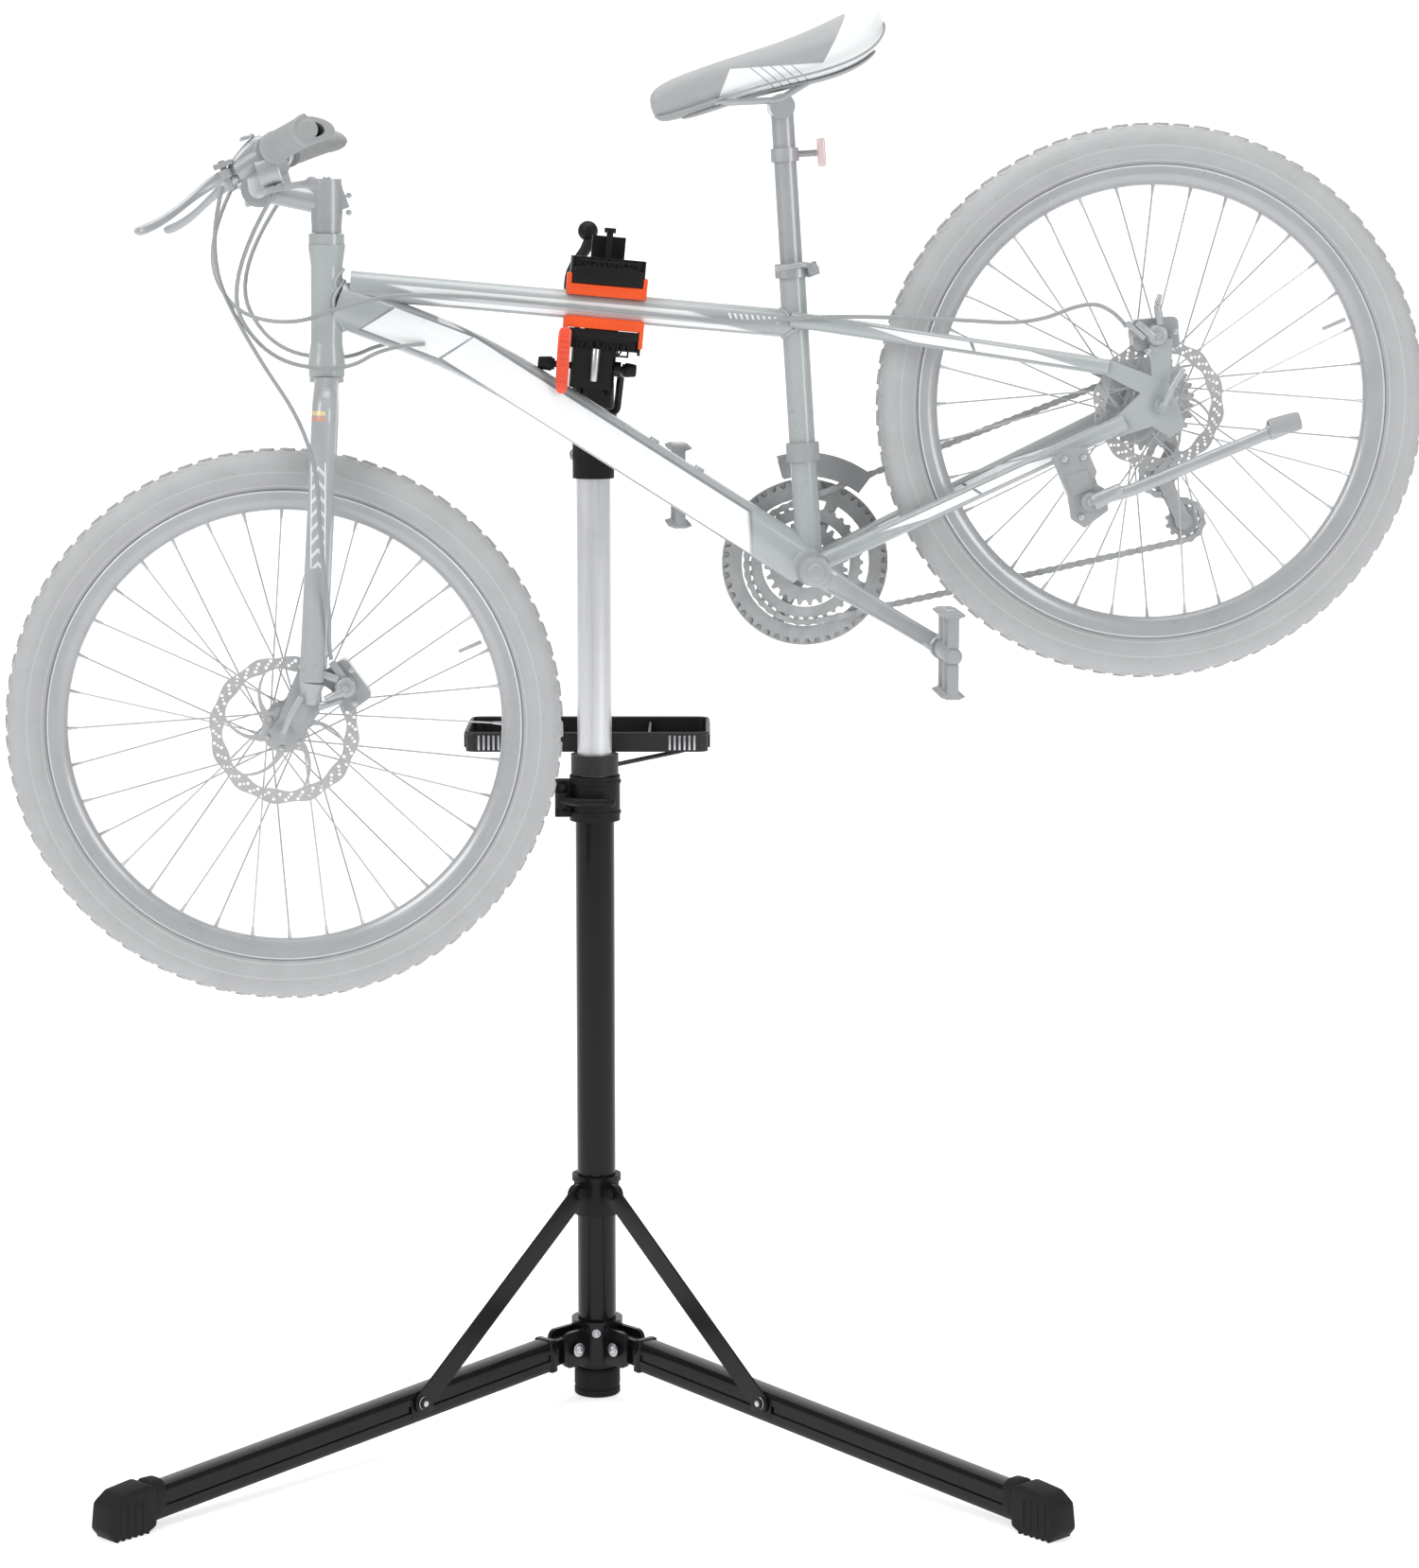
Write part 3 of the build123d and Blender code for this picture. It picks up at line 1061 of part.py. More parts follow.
# ---------------------------------------------------------------- all nodes
def nodes():
    """Every node's shape, in place."""
    b = bike_frame()
    c = Rot(0, 0, YAW) * clamp_frame()
    out = {}
    out["foot_cap"] = foot_cap()
    out["column_tube"] = column_tube()
    out["leg_hub"] = leg_hub()
    for side, name in ((-1, "left"), (1, "right")):
        out["leg_" + name] = leg(side)
        out["leg_foot_" + name] = leg_foot(side)
        out["strut_" + name] = strut(side)
    out["sleeve"] = sleeve()
    lever, pin = column_lever()
    out["column_clamp"] = column_clamp() + pin
    out["column_lever"] = lever
    pan, wire = tray()
    out["tool_tray"] = group(pan, wire - pan)
    out["mast_tube"] = mast_tube()
    out["mast_head"] = yawed(mast_head())
    out["head_knuckle"] = yawed(head_knuckle())
    out["head_lever"] = yawed(head_lever())
    out["arm_tube"] = yawed(arm_tube())
    body, pin = clamp_body()
    out["clamp_body"] = c * group(body + pin, clamp_screw())
    out["pad_lower"] = c * pad(-1)
    out["pad_upper"] = c * pad(1)
    out["upper_jaw"] = c * upper_jaw()
    out["clamp_lever"] = c * clamp_lever()
    out["clamp_strap"] = c * strap()
    out["frame_front"] = b * group(frame_front(), *cups(), bearings())
    out["frame_rear"] = b * group(frame_rear(), axle(False), kick_pin())
    out["kickstand"] = b * kickstand()
    out["fork"] = b * group(fork(), axle(True))
    out["stem"] = b * stem()
    out["handlebar"] = b * handlebar()
    out["grips"] = b * grips()
    mounts = []
    for side, name in ((-1, "left"), (1, "right")):
        body, pin, stop = lever_mount(side)
        mounts += [body + pin + stop]
        out["brake_lever_" + name] = b * brake_lever(side)
        out["shift_lever_" + name] = b * shift_lever(side)
        out["pedal_" + name] = b * pedal(side)
    out["lever_mounts"] = b * group(*mounts)
    for front, name in ((True, "front"), (False, "rear")):
        cx = FRONT_AXLE_X if front else CHAINSTAY_X
        cz = 42.0 if front else BB_DROP
        tyre, rim, hub, rotor = wheel_parts(cx, cz, front)
        out[name + "_tyre"] = b * tyre
        out[name + "_rim"] = b * rim
        out[name + "_hub"] = b * group(hub, rotor)
    out["front_caliper"] = b * disc_caliper(-571, 66.6, -41, 74.4)
    out["rear_caliper"] = b * disc_caliper(477, 122, -52.5, 15.3)
    out["cassette"] = b * cassette()
    out["chainrings"] = b * chainrings()
    out["crank_arms"] = b * crank_arms()
    out["chain"] = b * chain()
    out["derailleurs"] = b * group(rear_derailleur(), front_derailleur())
    out["derailleur_cage"] = b * derailleur_cage()
    out["pulley_guide"] = b * pulley(GUIDE_PULLEY)
    out["pulley_tension"] = b * pulley(TENSION_PULLEY)
    out["seat_post"] = b * group(seat_post(), reflector())
    out["saddle"] = b * saddle()
    out["seat_clamp"] = b * seat_clamp()
    out["seat_lever"] = b * seat_lever()
    out["cables_frame"] = b * cables(("rear_brake", "gear_rear", "gear_front"), show=True)
    out["cable_fork"] = b * cables(("front_brake",), show=True)
    return out


def main():
    os.makedirs("parts", exist_ok=True)
    for name, shape in nodes().items():
        export_step(shape, "parts/" + name + ".step")
        solids = shape.solids()
        print(name, len(solids), "solids", round(sum(s.volume for s in solids) / 1000, 1), "cm3")


if __name__ == "__main__":
    main()
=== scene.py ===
# %% [markdown]
# # A bicycle in a folding repair stand
# The exact parts of the stand and the bicycle come from the engineering model. This lesson keeps the
# tubes that are already right, and builds what gives the object its character: tyres with tread, spoked
# wheels, rotors, a toothed drivetrain, the saddle, the rubber pads and the control cables. Every length
# in the lesson is written in millimetres and multiplied by mm, because Blender works in metres.

# %% Load the frame
import math
import bmesh
import bpy
from mathutils import Matrix, Vector


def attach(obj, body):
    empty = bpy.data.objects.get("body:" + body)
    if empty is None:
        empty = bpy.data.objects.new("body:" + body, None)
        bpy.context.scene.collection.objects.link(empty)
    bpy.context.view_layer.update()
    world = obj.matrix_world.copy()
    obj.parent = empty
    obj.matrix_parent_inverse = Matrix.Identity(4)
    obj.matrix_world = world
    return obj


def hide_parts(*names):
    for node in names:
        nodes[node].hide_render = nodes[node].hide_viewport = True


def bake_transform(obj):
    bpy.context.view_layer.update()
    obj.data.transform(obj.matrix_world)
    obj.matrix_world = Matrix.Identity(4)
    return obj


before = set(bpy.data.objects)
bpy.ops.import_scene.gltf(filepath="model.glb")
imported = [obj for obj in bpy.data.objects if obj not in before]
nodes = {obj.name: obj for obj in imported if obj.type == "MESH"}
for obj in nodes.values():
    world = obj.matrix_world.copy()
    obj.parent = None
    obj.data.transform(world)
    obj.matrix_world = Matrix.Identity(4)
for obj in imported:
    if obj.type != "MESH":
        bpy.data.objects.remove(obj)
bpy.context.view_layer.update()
mm = 0.001

# %% [markdown]
# The bicycle hangs nose-down in the jaws, so its tubes are easier to build upright, about the bottom
# bracket, and to turn afterwards. Three matrices do that: one for the bicycle, one for the clamp, and
# one for the turned head of the stand. A fourth one points along a leg.

# %% Frames of the object
head_turn = math.radians(4.0)
nose_down = math.radians(20.2)
tube_slope = math.radians(5.11)
arm_height = 1449 * mm
arm_reach = 360 * mm

head_place = Matrix.Rotation(head_turn, 4, "Z")
bike_place = (head_place @ Matrix.Translation((246.7 * mm, -arm_reach, 1137.6 * mm))
              @ Matrix.Rotation(-nose_down, 4, "Y"))
clamp_place = (head_place @ Matrix.Translation((0, -arm_reach, arm_height))
               @ Matrix.Rotation(tube_slope, 4, "Y"))


def leg_place(side):
    return Matrix.Rotation(math.radians(-90 + side * 44), 4, "Z")


print("bottom bracket at", [round(c, 4) for c in bike_place.translation])

# %% [markdown]
# Small habits of modelling by hand, each as a function: start clean, give the new primitive its name,
# enter edit mode with nothing selected, pick faces by where they are and which way they look.

# %% Hand habits
def clean():
    """Nothing selected, object mode."""
    if bpy.context.object and bpy.context.object.mode != "OBJECT":
        bpy.ops.object.mode_set(mode="OBJECT")
    bpy.ops.object.select_all(action="DESELECT")


def named(name):
    """The primitive that was just added, with its name."""
    obj = bpy.context.object
    obj.name = name
    obj.data.name = name
    return obj


def edit(obj, everything=False):
    """Edit mode on one object."""
    clean()
    bpy.context.view_layer.objects.active = obj
    obj.select_set(True)
    bpy.ops.object.mode_set(mode="EDIT")
    bpy.ops.mesh.select_mode(type="FACE")
    bpy.ops.mesh.select_all(action="SELECT" if everything else "DESELECT")


def pick(obj, test):
    """Selects the faces whose middle and normal pass the test."""
    bm = bmesh.from_edit_mesh(obj.data)
    for face in bm.faces:
        face.select_set(bool(test(face.calc_center_median() / mm, face.normal)))
    bmesh.update_edit_mesh(obj.data)


def done():
    bpy.ops.object.mode_set(mode="OBJECT")


def use(obj, kind, **settings):
    """Adds a modifier and applies it at once."""
    clean()
    bpy.context.view_layer.objects.active = obj
    obj.select_set(True)
    mod = obj.modifiers.new(kind, kind)
    for key, value in settings.items():
        setattr(mod, key, value)
    bpy.ops.object.modifier_apply(modifier=mod.name)


def smooth(obj, degrees=35):
    clean()
    bpy.context.view_layer.objects.active = obj
    obj.select_set(True)
    bpy.ops.object.shade_smooth_by_angle(angle=math.radians(degrees))


def soften(obj, width, segments=2, angle=35):
    """Rounds the sharp edges, as a mould or a file does."""
    use(obj, "BEVEL", width=width * mm, segments=segments, limit_method="ANGLE",
        angle_limit=math.radians(angle), harden_normals=False)
    smooth(obj)


def settle(obj, place=None):
    """Moves a piece from its own frame into the object's, with the place in its mesh."""
    clean()
    bpy.context.view_layer.objects.active = obj
    obj.select_set(True)
    if place is not None:
        obj.matrix_world = place @ obj.matrix_world
    bpy.ops.object.transform_apply(location=True, rotation=True, scale=True)
    return obj


def joined(name, objs):
    """Several shapes as one piece."""
    clean()
    for obj in objs:
        obj.select_set(True)
    bpy.context.view_layer.objects.active = objs[0]
    if len(objs) > 1:
        bpy.ops.object.join()
    return named(name)


def around(obj, count, centre=(0, 0, 0), axis=(0, 1, 0)):
    """Copies all of a mesh evenly round an axis."""
    edit(obj, everything=True)
    bpy.ops.mesh.spin(steps=count - 1, dupli=True, angle=2 * math.pi * (count - 1) / count,
                      center=[c * mm for c in centre], axis=axis)
    done()


# %% [markdown]
# Most parts of a bicycle are turned, bent or forged. So there are four ways to start a shape: a bar
# between two points, a profile turned on a lathe, a flat outline given a thickness, and a form that is
# extruded from section to section. Each starts from a primitive, and each is shaped further where used.

# %% Bar, lathe, plate and extruded form
def bar(name, a, b, r, r2=None, sides=24, soft=0.0):
    """A round bar from a to b, tapering to r2 when that is given."""
    a, b = Vector(a) * mm, Vector(b) * mm
    clean()
    turn = (b - a).to_track_quat("Z", "Y").to_euler()
    bpy.ops.mesh.primitive_cone_add(vertices=sides, radius1=r * mm, radius2=(r if r2 is None else r2) * mm,
                                    depth=(b - a).length, location=(a + b) / 2, rotation=turn)
    obj = settle(named(name))
    if soft:
        soften(obj, soft, 2)
    else:
        smooth(obj)
    return obj


def ring_of(name, points, filled):
    """A closed outline: a circle primitive whose corners are moved to the given points."""
    clean()
    bpy.ops.mesh.primitive_circle_add(vertices=len(points), radius=0.01,
                                      fill_type="NGON" if filled else "NOTHING")
    obj = named(name)
    for v, p in zip(obj.data.vertices, points):
        v.co = Vector(p) * mm
    return obj


def lathe(name, outline, axis="Y", steps=48):
    """A closed outline of (radius, height) pairs, spun a full turn about an axis through the origin."""
    points = [(r, h, 0) if axis == "Y" else (r, 0, h) for r, h in outline]
    obj = ring_of(name, points, False)
    edit(obj)
    bpy.ops.mesh.select_mode(type="EDGE")
    bpy.ops.mesh.select_all(action="SELECT")
    bpy.ops.mesh.spin(steps=steps, angle=2 * math.pi, center=(0, 0, 0),
                      axis=(0, 1, 0) if axis == "Y" else (0, 0, 1))
    bpy.ops.mesh.select_all(action="SELECT")
    bpy.ops.mesh.remove_doubles(threshold=0.00002)
    bpy.ops.mesh.dissolve_degenerate(threshold=0.00001)
    bpy.ops.mesh.select_all(action="SELECT")
    bpy.ops.mesh.normals_make_consistent(inside=False)
    done()
    smooth(obj, 32)
    return obj


def plate(name, outline, y, thick):
    """A flat outline of (x, z) pairs at height y, extruded sideways by its thickness."""
    obj = ring_of(name, [(x, y - thick / 2, z) for x, z in outline], True)
    edit(obj, everything=True)
    bpy.ops.mesh.extrude_region_move(TRANSFORM_OT_translate={"value": (0, thick * mm, 0)})
    bpy.ops.mesh.select_all(action="SELECT")
    bpy.ops.mesh.normals_make_consistent(inside=False)
    done()
    return obj


def grown(name, rings, levels=0):
    """A closed form: the first ring is a face, which is extruded to each ring after it."""
    obj = ring_of(name, rings[0], True)
    edit(obj, everything=True)
    last = [Vector(p) * mm for p in rings[0]]
    for ring in rings[1:]:
        bpy.ops.mesh.extrude_region_move(TRANSFORM_OT_translate={"value": (0, 0, 0)})
        bm = bmesh.from_edit_mesh(obj.data)
        goal = [Vector(p) * mm for p in ring]
        for v in [v for v in bm.verts if v.select]:
            k = min(range(len(last)), key=lambda i: (v.co - last[i]).length_squared)
            v.co = goal[k]
        bmesh.update_edit_mesh(obj.data)
        last = goal
    bpy.ops.mesh.select_all(action="SELECT")
    bpy.ops.mesh.normals_make_consistent(inside=False)
    done()
    if levels:
        use(obj, "SUBSURF", levels=levels, render_levels=levels)
    smooth(obj, 60)
    return obj


def box(name, x0, x1, y0, y1, z0, z1, soft=1.0):
    """A block between two corners, with its edges rounded."""
    clean()
    bpy.ops.mesh.primitive_cube_add(size=1,
                                    location=((x0 + x1) / 2 * mm, (y0 + y1) / 2 * mm, (z0 + z1) / 2 * mm),
                                    scale=(abs(x1 - x0) * mm, abs(y1 - y0) * mm, abs(z1 - z0) * mm))
    obj = settle(named(name))
    if soft:
        soften(obj, soft, 3)
    return obj


def oval(centre, across, up, wide, high, count=12, power=1.0):
    """A ring of points: an ellipse, or a rounder-cornered oblong with power below 1."""
    out = []
    for i in range(count):
        a = 2 * math.pi * (i + 0.5) / count
        c, s = math.cos(a), math.sin(a)
        c = math.copysign(abs(c) ** power, c)
        s = math.copysign(abs(s) ** power, s)
        out.append(Vector(centre) + Vector(across) * wide * c + Vector(up) * high * s)
    return out


def hose(name, points, r, cyclic=False, sides=4, swell=None):
    """A round tube along one smooth curve through the given control points."""
    curve = bpy.data.curves.new(name, "CURVE")
    curve.dimensions = "3D"
    curve.bevel_depth = r * mm
    curve.bevel_resolution = sides
    curve.use_fill_caps = not cyclic
    spline = curve.splines.new("NURBS")
    spline.points.add(len(points) - 1)
    for i, (dot, p) in enumerate(zip(spline.points, points)):
        dot.co = (p[0] * mm, p[1] * mm, p[2] * mm, 1)
        dot.radius = swell(i) if swell else 1.0
    spline.order_u = 3
    spline.use_endpoint_u = not cyclic
    spline.use_cyclic_u = cyclic
    spline.resolution_u = 8
    obj = bpy.data.objects.new(name, curve)
    bpy.context.collection.objects.link(obj)
    clean()
    bpy.context.view_layer.objects.active = obj
    obj.select_set(True)
    bpy.ops.object.convert(target="MESH")
    obj = named(name)
    edit(obj, everything=True)
    bpy.ops.mesh.normals_make_consistent(inside=False)
    done()
    smooth(obj, 50)
    return obj


print("four ways to start a shape are ready")

# %% [markdown]
# ## Finishes
# All finishes share one effect: a fine grain with a slower mottle under it, such as paint texture,
# moulded plastic or handled rubber has. It is built once as a node group. The group gives a mask for
# colour and gloss, and a height for the bump. It reads Object coordinates, so it stays with the part.

# %% Shared node groups
def new_group(name, inputs, outputs):
    group = bpy.data.node_groups.new(name, "ShaderNodeTree")
    for label, kind, value in inputs:
        socket = group.interface.new_socket(label, in_out="INPUT", socket_type=kind)
        if value is not None:
            socket.default_value = value
    for label in outputs:
        group.interface.new_socket(label, in_out="OUTPUT", socket_type="NodeSocketFloat")
    return group, group.nodes.new("NodeGroupInput"), group.nodes.new("NodeGroupOutput")


def math_node(tree, operation, a, b=None, c=None, clamp=False):
    """A math node with numbers or links on its inputs; returns its output."""
    node = tree.nodes.new("ShaderNodeMath")
    node.operation = operation
    node.use_clamp = clamp
    for i, value in enumerate((a, b, c)):
        if value is None:
            continue
        if isinstance(value, (int, float)):
            node.inputs[i].default_value = value
        else:
            tree.links.new(value, node.inputs[i])
    return node.outputs[0]


def noise(tree, vector, scale, detail=3.0, rough=0.55):
    node = tree.nodes.new("ShaderNodeTexNoise")
    node.inputs["Detail"].default_value = detail
    node.inputs["Roughness"].default_value = rough
    tree.links.new(vector, node.inputs["Vector"])
    if isinstance(scale, (int, float)):
        node.inputs["Scale"].default_value = scale
    else:
        tree.links.new(scale, node.inputs["Scale"])
    return node.outputs["Fac"]


grain, g_in, g_out = new_group("grain",
                               [("Vector", "NodeSocketVector", None), ("Fine", "NodeSocketFloat", 900.0),
                                ("Coarse", "NodeSocketFloat", 18.0)],
                               ["Mottle", "Height", "Scuff"])
fine = noise(grain, g_in.outputs["Vector"], g_in.outputs["Fine"], 2.0)
slow = noise(grain, g_in.outputs["Vector"], g_in.outputs["Coarse"], 4.0, 0.6)
mid = noise(grain, g_in.outputs["Vector"], math_node(grain, "MULTIPLY", g_in.outputs["Coarse"], 7.3), 5.0,
            0.7)
scuff = math_node(grain, "MULTIPLY_ADD", mid, 6.0, -3.55, clamp=True)
grain.links.new(slow, g_out.inputs["Mottle"])
grain.links.new(fine, g_out.inputs["Height"])
grain.links.new(scuff, g_out.inputs["Scuff"])

# %% [markdown]
# A decal on a tube is a patch with straight, slanted ends. The second group turns a point that is
# measured from the patch's middle, in half lengths and half heights, into a mask that is 1 inside.

# %% Decal group
patch, p_in, p_out = new_group("patch",
                               [("Vector", "NodeSocketVector", None), ("Slant", "NodeSocketFloat", 0.0),
                                         ("Edge", "NodeSocketFloat", 30.0)], ["Mask"])
split = patch.nodes.new("ShaderNodeSeparateXYZ")
patch.links.new(p_in.outputs["Vector"], split.inputs[0])
leaned = math_node(patch, "MULTIPLY_ADD", split.outputs["Z"], p_in.outputs["Slant"], split.outputs["X"])
inside = None
for value in (leaned, split.outputs["Z"]):
    near = math_node(patch, "SUBTRACT", 1.0, math_node(patch, "ABSOLUTE", value))
    near = math_node(patch, "MULTIPLY", near, p_in.outputs["Edge"], clamp=True)
    inside = near if inside is None else math_node(patch, "MINIMUM", inside, near)
patch.links.new(inside, p_out.inputs["Mask"])
print("node groups:", [g.name for g in bpy.data.node_groups])

# %% [markdown]
# A finish is a Principled shader with the grain group in front of it. Colours are given as the eye
# sees them and turned to the linear values that the shader wants. What is the same all over, such as
# coat, sheen or specular, is set on the shader itself.

# %% A finish from the grain group
def linear(rgb):
    """A colour of 0 to 255 per channel, as a linear RGBA."""
    out = []
    for c in rgb:
        c = c / 255
        out.append(c / 12.92 if c <= 0.04045 else ((c + 0.055) / 1.055) ** 2.4)
    return (*out, 1.0)


def group_node(tree, group, **values):
    node = tree.nodes.new("ShaderNodeGroup")
    node.node_tree = group
    for key, value in values.items():
        node.inputs[key].default_value = value
    return node


def mix(tree, mask, a, b):
    """A colour between a and b; each is a colour or a link."""
    node = tree.nodes.new("ShaderNodeMix")
    node.data_type = "RGBA"
    if isinstance(mask, (int, float)):
        node.inputs[0].default_value = mask
    else:
        tree.links.new(mask, node.inputs[0])
    for socket, value in ((node.inputs[6], a), (node.inputs[7], b)):
        if isinstance(value, tuple):
            socket.default_value = value
        else:
            tree.links.new(value, socket)
    return node.outputs[2]


class Finish:
    """A material in the making: its tree, shader, coordinates and running colour."""

    def __init__(self, name, colour, rough=0.5, metal=0.0, mottle=0.06, wear=0.0, worn=None,
                 fine=900.0, coarse=18.0, depth=0.02, **shader):
        self.mat = bpy.data.materials.new(name)
        self.mat.use_nodes = True
        tree = self.tree = self.mat.node_tree
        self.shader = tree.nodes["Principled BSDF"]
        self.place = tree.nodes.new("ShaderNodeTexCoord").outputs["Object"]
        node = self.grain = group_node(tree, grain, Fine=fine, Coarse=coarse)
        tree.links.new(self.place, node.inputs["Vector"])
        base = linear(colour)
        dark = tuple(c * (1 - 2.2 * mottle) for c in base[:3]) + (1.0,)
        self.colour = mix(tree, node.outputs["Mottle"], dark,
                          tuple(min(1, c * (1 + mottle)) for c in base[:3]) + (1.0,))
        if wear:
            amount = math_node(tree, "MULTIPLY", node.outputs["Scuff"], wear)
            self.colour = mix(tree, amount, self.colour, linear(worn or colour))
        self.rough = math_node(tree, "MULTIPLY_ADD", node.outputs["Mottle"], 0.22, rough - 0.11, clamp=True)
        self.height = node.outputs["Height"]
        self.depth = depth
        self.shader.inputs["Metallic"].default_value = metal
        for key, value in shader.items():
            self.shader.inputs[key.replace("_", " ")].default_value = value

    def link(self):
        """Joins the colour, gloss and bump to the shader; the last step."""
        tree = self.tree
        bump = tree.nodes.new("ShaderNodeBump")
        bump.inputs["Distance"].default_value = self.depth * mm
        tree.links.new(self.height, bump.inputs["Height"])
        tree.links.new(self.colour, self.shader.inputs["Base Color"])
        tree.links.new(self.rough, self.shader.inputs["Roughness"])
        tree.links.new(bump.outputs["Normal"], self.shader.inputs["Normal"])
        return self.mat

    def add_height(self, value, weight=1.0):
        scaled = math_node(self.tree, "MULTIPLY", value, weight)
        self.height = math_node(self.tree, "ADD", self.height, scaled)

    def bike_point(self, centre=(0, 0, 0), heading=0.0, half=(1, 1, 1), frame_of=None):
        """Coordinates measured from a point of the bicycle's own frame, in units of the half sizes."""
        place = (frame_of or bike_place) @ Matrix.Translation(Vector(centre) * mm)
        place = place @ Matrix.Rotation(math.radians(heading), 4, "Y")
        node = self.tree.nodes.new("ShaderNodeMapping")
        node.vector_type = "TEXTURE"
        node.inputs["Location"].default_value = place.translation
        node.inputs["Rotation"].default_value = place.to_euler()
        node.inputs["Scale"].default_value = [h * mm for h in half]
        self.tree.links.new(self.place, node.inputs["Vector"])
        return node.outputs["Vector"]

    def decal(self, colour, centre, heading, half, slant=0.0, edge=30.0, frame_of=None, within=None):
        """Paints a slanted patch and returns its mask."""
        node = group_node(self.tree, patch, Slant=slant, Edge=edge)
        self.tree.links.new(self.bike_point(centre, heading, half, frame_of), node.inputs["Vector"])
        mask = node.outputs["Mask"]
        if within is not None:
            mask = math_node(self.tree, "MULTIPLY", mask, within)
        self.colour = mix(self.tree, mask, self.colour, linear(colour))
        return mask


print("finish maker is ready")

# %% [markdown]
# The stand is mostly black: stove-enamelled tubes with a slight orange peel, moulded nylon with a fine
# spark-eroded grain, and rubber feet that have picked up dust. Each finish differs in gloss, grain size
# and how light its scuffs are, because black parts only read through their reflections.

# %% Stand finishes
mats = {}
mats["black_paint"] = Finish("black_paint", (14, 14, 15), 0.24, mottle=0.10, wear=0.06, worn=(58, 60, 63),
                             Specular_IOR_Level=0.16,
                             fine=700, coarse=9, depth=0.035, Coat_Weight=0.14, Coat_Roughness=0.1).link()
mats["dark_paint"] = Finish("dark_paint", (20, 20, 22), 0.33, mottle=0.12, wear=0.12, worn=(66, 68, 72),
                            Specular_IOR_Level=0.2,
                            fine=820, coarse=14, depth=0.03, Coat_Weight=0.1, Coat_Roughness=0.2).link()
mats["black_plastic"] = Finish("black_plastic", (17, 17, 18), 0.5, mottle=0.12, wear=0.12,
                               worn=(48, 49, 51), Specular_IOR_Level=0.25,
                               fine=1500, coarse=22, depth=0.05).link()
mats["black_metal"] = Finish("black_metal", (17, 17, 18), 0.34, metal=0.35, mottle=0.10, wear=0.16,
                             worn=(96, 97, 100), fine=1300, coarse=24, depth=0.02).link()
mats["tray_plastic"] = Finish("tray_plastic", (20, 20, 22), 0.46, mottle=0.14, wear=0.2, worn=(70, 72, 76),
                              fine=1200, coarse=16, depth=0.06).link()
mats["rubber"] = Finish("rubber", (19, 19, 19), 0.72, mottle=0.16, wear=0.35, worn=(48, 47, 46),
                        fine=620, coarse=26, depth=0.09, Specular_IOR_Level=0.3).link()
pad = Finish("orange_pad", (233, 84, 30), 0.6, mottle=0.10, wear=0.22, worn=(196, 62, 22), fine=1100,
             coarse=20, depth=0.06, Specular_IOR_Level=0.35)
mats["orange_pad"] = pad.link()
mats["strap"] = Finish("strap", (236, 86, 58), 0.34, mottle=0.08, fine=800, coarse=30, depth=0.03,
                       Subsurface_Weight=0.35, Subsurface_Scale=0.004, Coat_Weight=0.3).link()
mats["screw"] = Finish("screw", (196, 198, 202), 0.3, metal=0.9, mottle=0.08, wear=0.15,
                       worn=(120, 120, 124), fine=1600, coarse=60, depth=0.012).link()

# %% [markdown]
# The mast is anodised aluminium tube. Drawing leaves very fine lines along it, so its grain is
# stretched: a Mapping node squeezes the texture twenty times along the mast before the noise reads it.

# %% Mast finish with drawn lines
alloy = Finish("mast_alloy", (228, 229, 231), 0.33, metal=0.75, mottle=0.05, fine=500, coarse=9, depth=0.01)
stretch = alloy.tree.nodes.new("ShaderNodeMapping")
stretch.inputs["Scale"].default_value = (1.0, 1.0, 0.012)
alloy.tree.links.new(alloy.place, stretch.inputs["Vector"])
drawn = noise(alloy.tree, stretch.outputs["Vector"], 1400.0, 2.0)
alloy.add_height(drawn, 1.6)
alloy.rough = math_node(alloy.tree, "MULTIPLY_ADD", drawn, 0.18, alloy.rough)
alloy.rough = math_node(alloy.tree, "SUBTRACT", alloy.rough, 0.09, clamp=True)
mats["mast_alloy"] = alloy.link()
print("stand finishes:", sorted(mats))

# %% [markdown]
# The bicycle is finished in pale satin greys. The frame's grey has a clear coat, with white and silver
# panels on the tubes. Those panels are patches with slanted ends, placed by the point of the tube that
# they are centred on and the tube's heading, so they keep to the tube wherever the bicycle hangs.

# %% Frame paint with its panels
frame_grey = (168, 173, 174)
panel_white = (238, 239, 240)
silver = (198, 202, 205)
line_grey = (132, 137, 140)
top_heading = math.degrees(math.atan2(228, 482))
down_heading = math.degrees(math.atan2(374, 284))

paint = Finish("frame_paint", frame_grey, 0.3, mottle=0.05, wear=0.08, worn=(186, 189, 190), fine=1100,
               coarse=12, depth=0.02, Coat_Weight=0.7, Coat_Roughness=0.08)
paint.decal(line_grey, (-188, 0, 240), down_heading, (225, 60, 24.5), slant=0.07, edge=60)
paint.decal(panel_white, (-188, 0, 240), down_heading, (222, 60, 21.0), slant=0.07, edge=40)
paint.decal(line_grey, (-344, 0, 427), 41, (52, 60, 21.5), slant=-0.3, edge=30)
paint.decal(panel_white, (-344, 0, 427), 41, (49, 60, 19.0), slant=-0.3, edge=30)
paint.decal(panel_white, (-176, 0, 402), top_heading, (186, 60, 5.0), slant=0.12, edge=14)
paint.decal(silver, (-156, 0, 386), top_heading, (150, 60, 1.6), slant=0.05, edge=10)
paint.decal(panel_white, (-150, 0, 378), top_heading, (196, 60, 2.8), slant=0.1, edge=10)
for k in range(9):
    paint.decal(panel_white, (12 + 6.2 * k, 0, 316.5 - 2.95 * k), top_heading, (1.5, 60, 4.0), slant=1.2,
                edge=6)
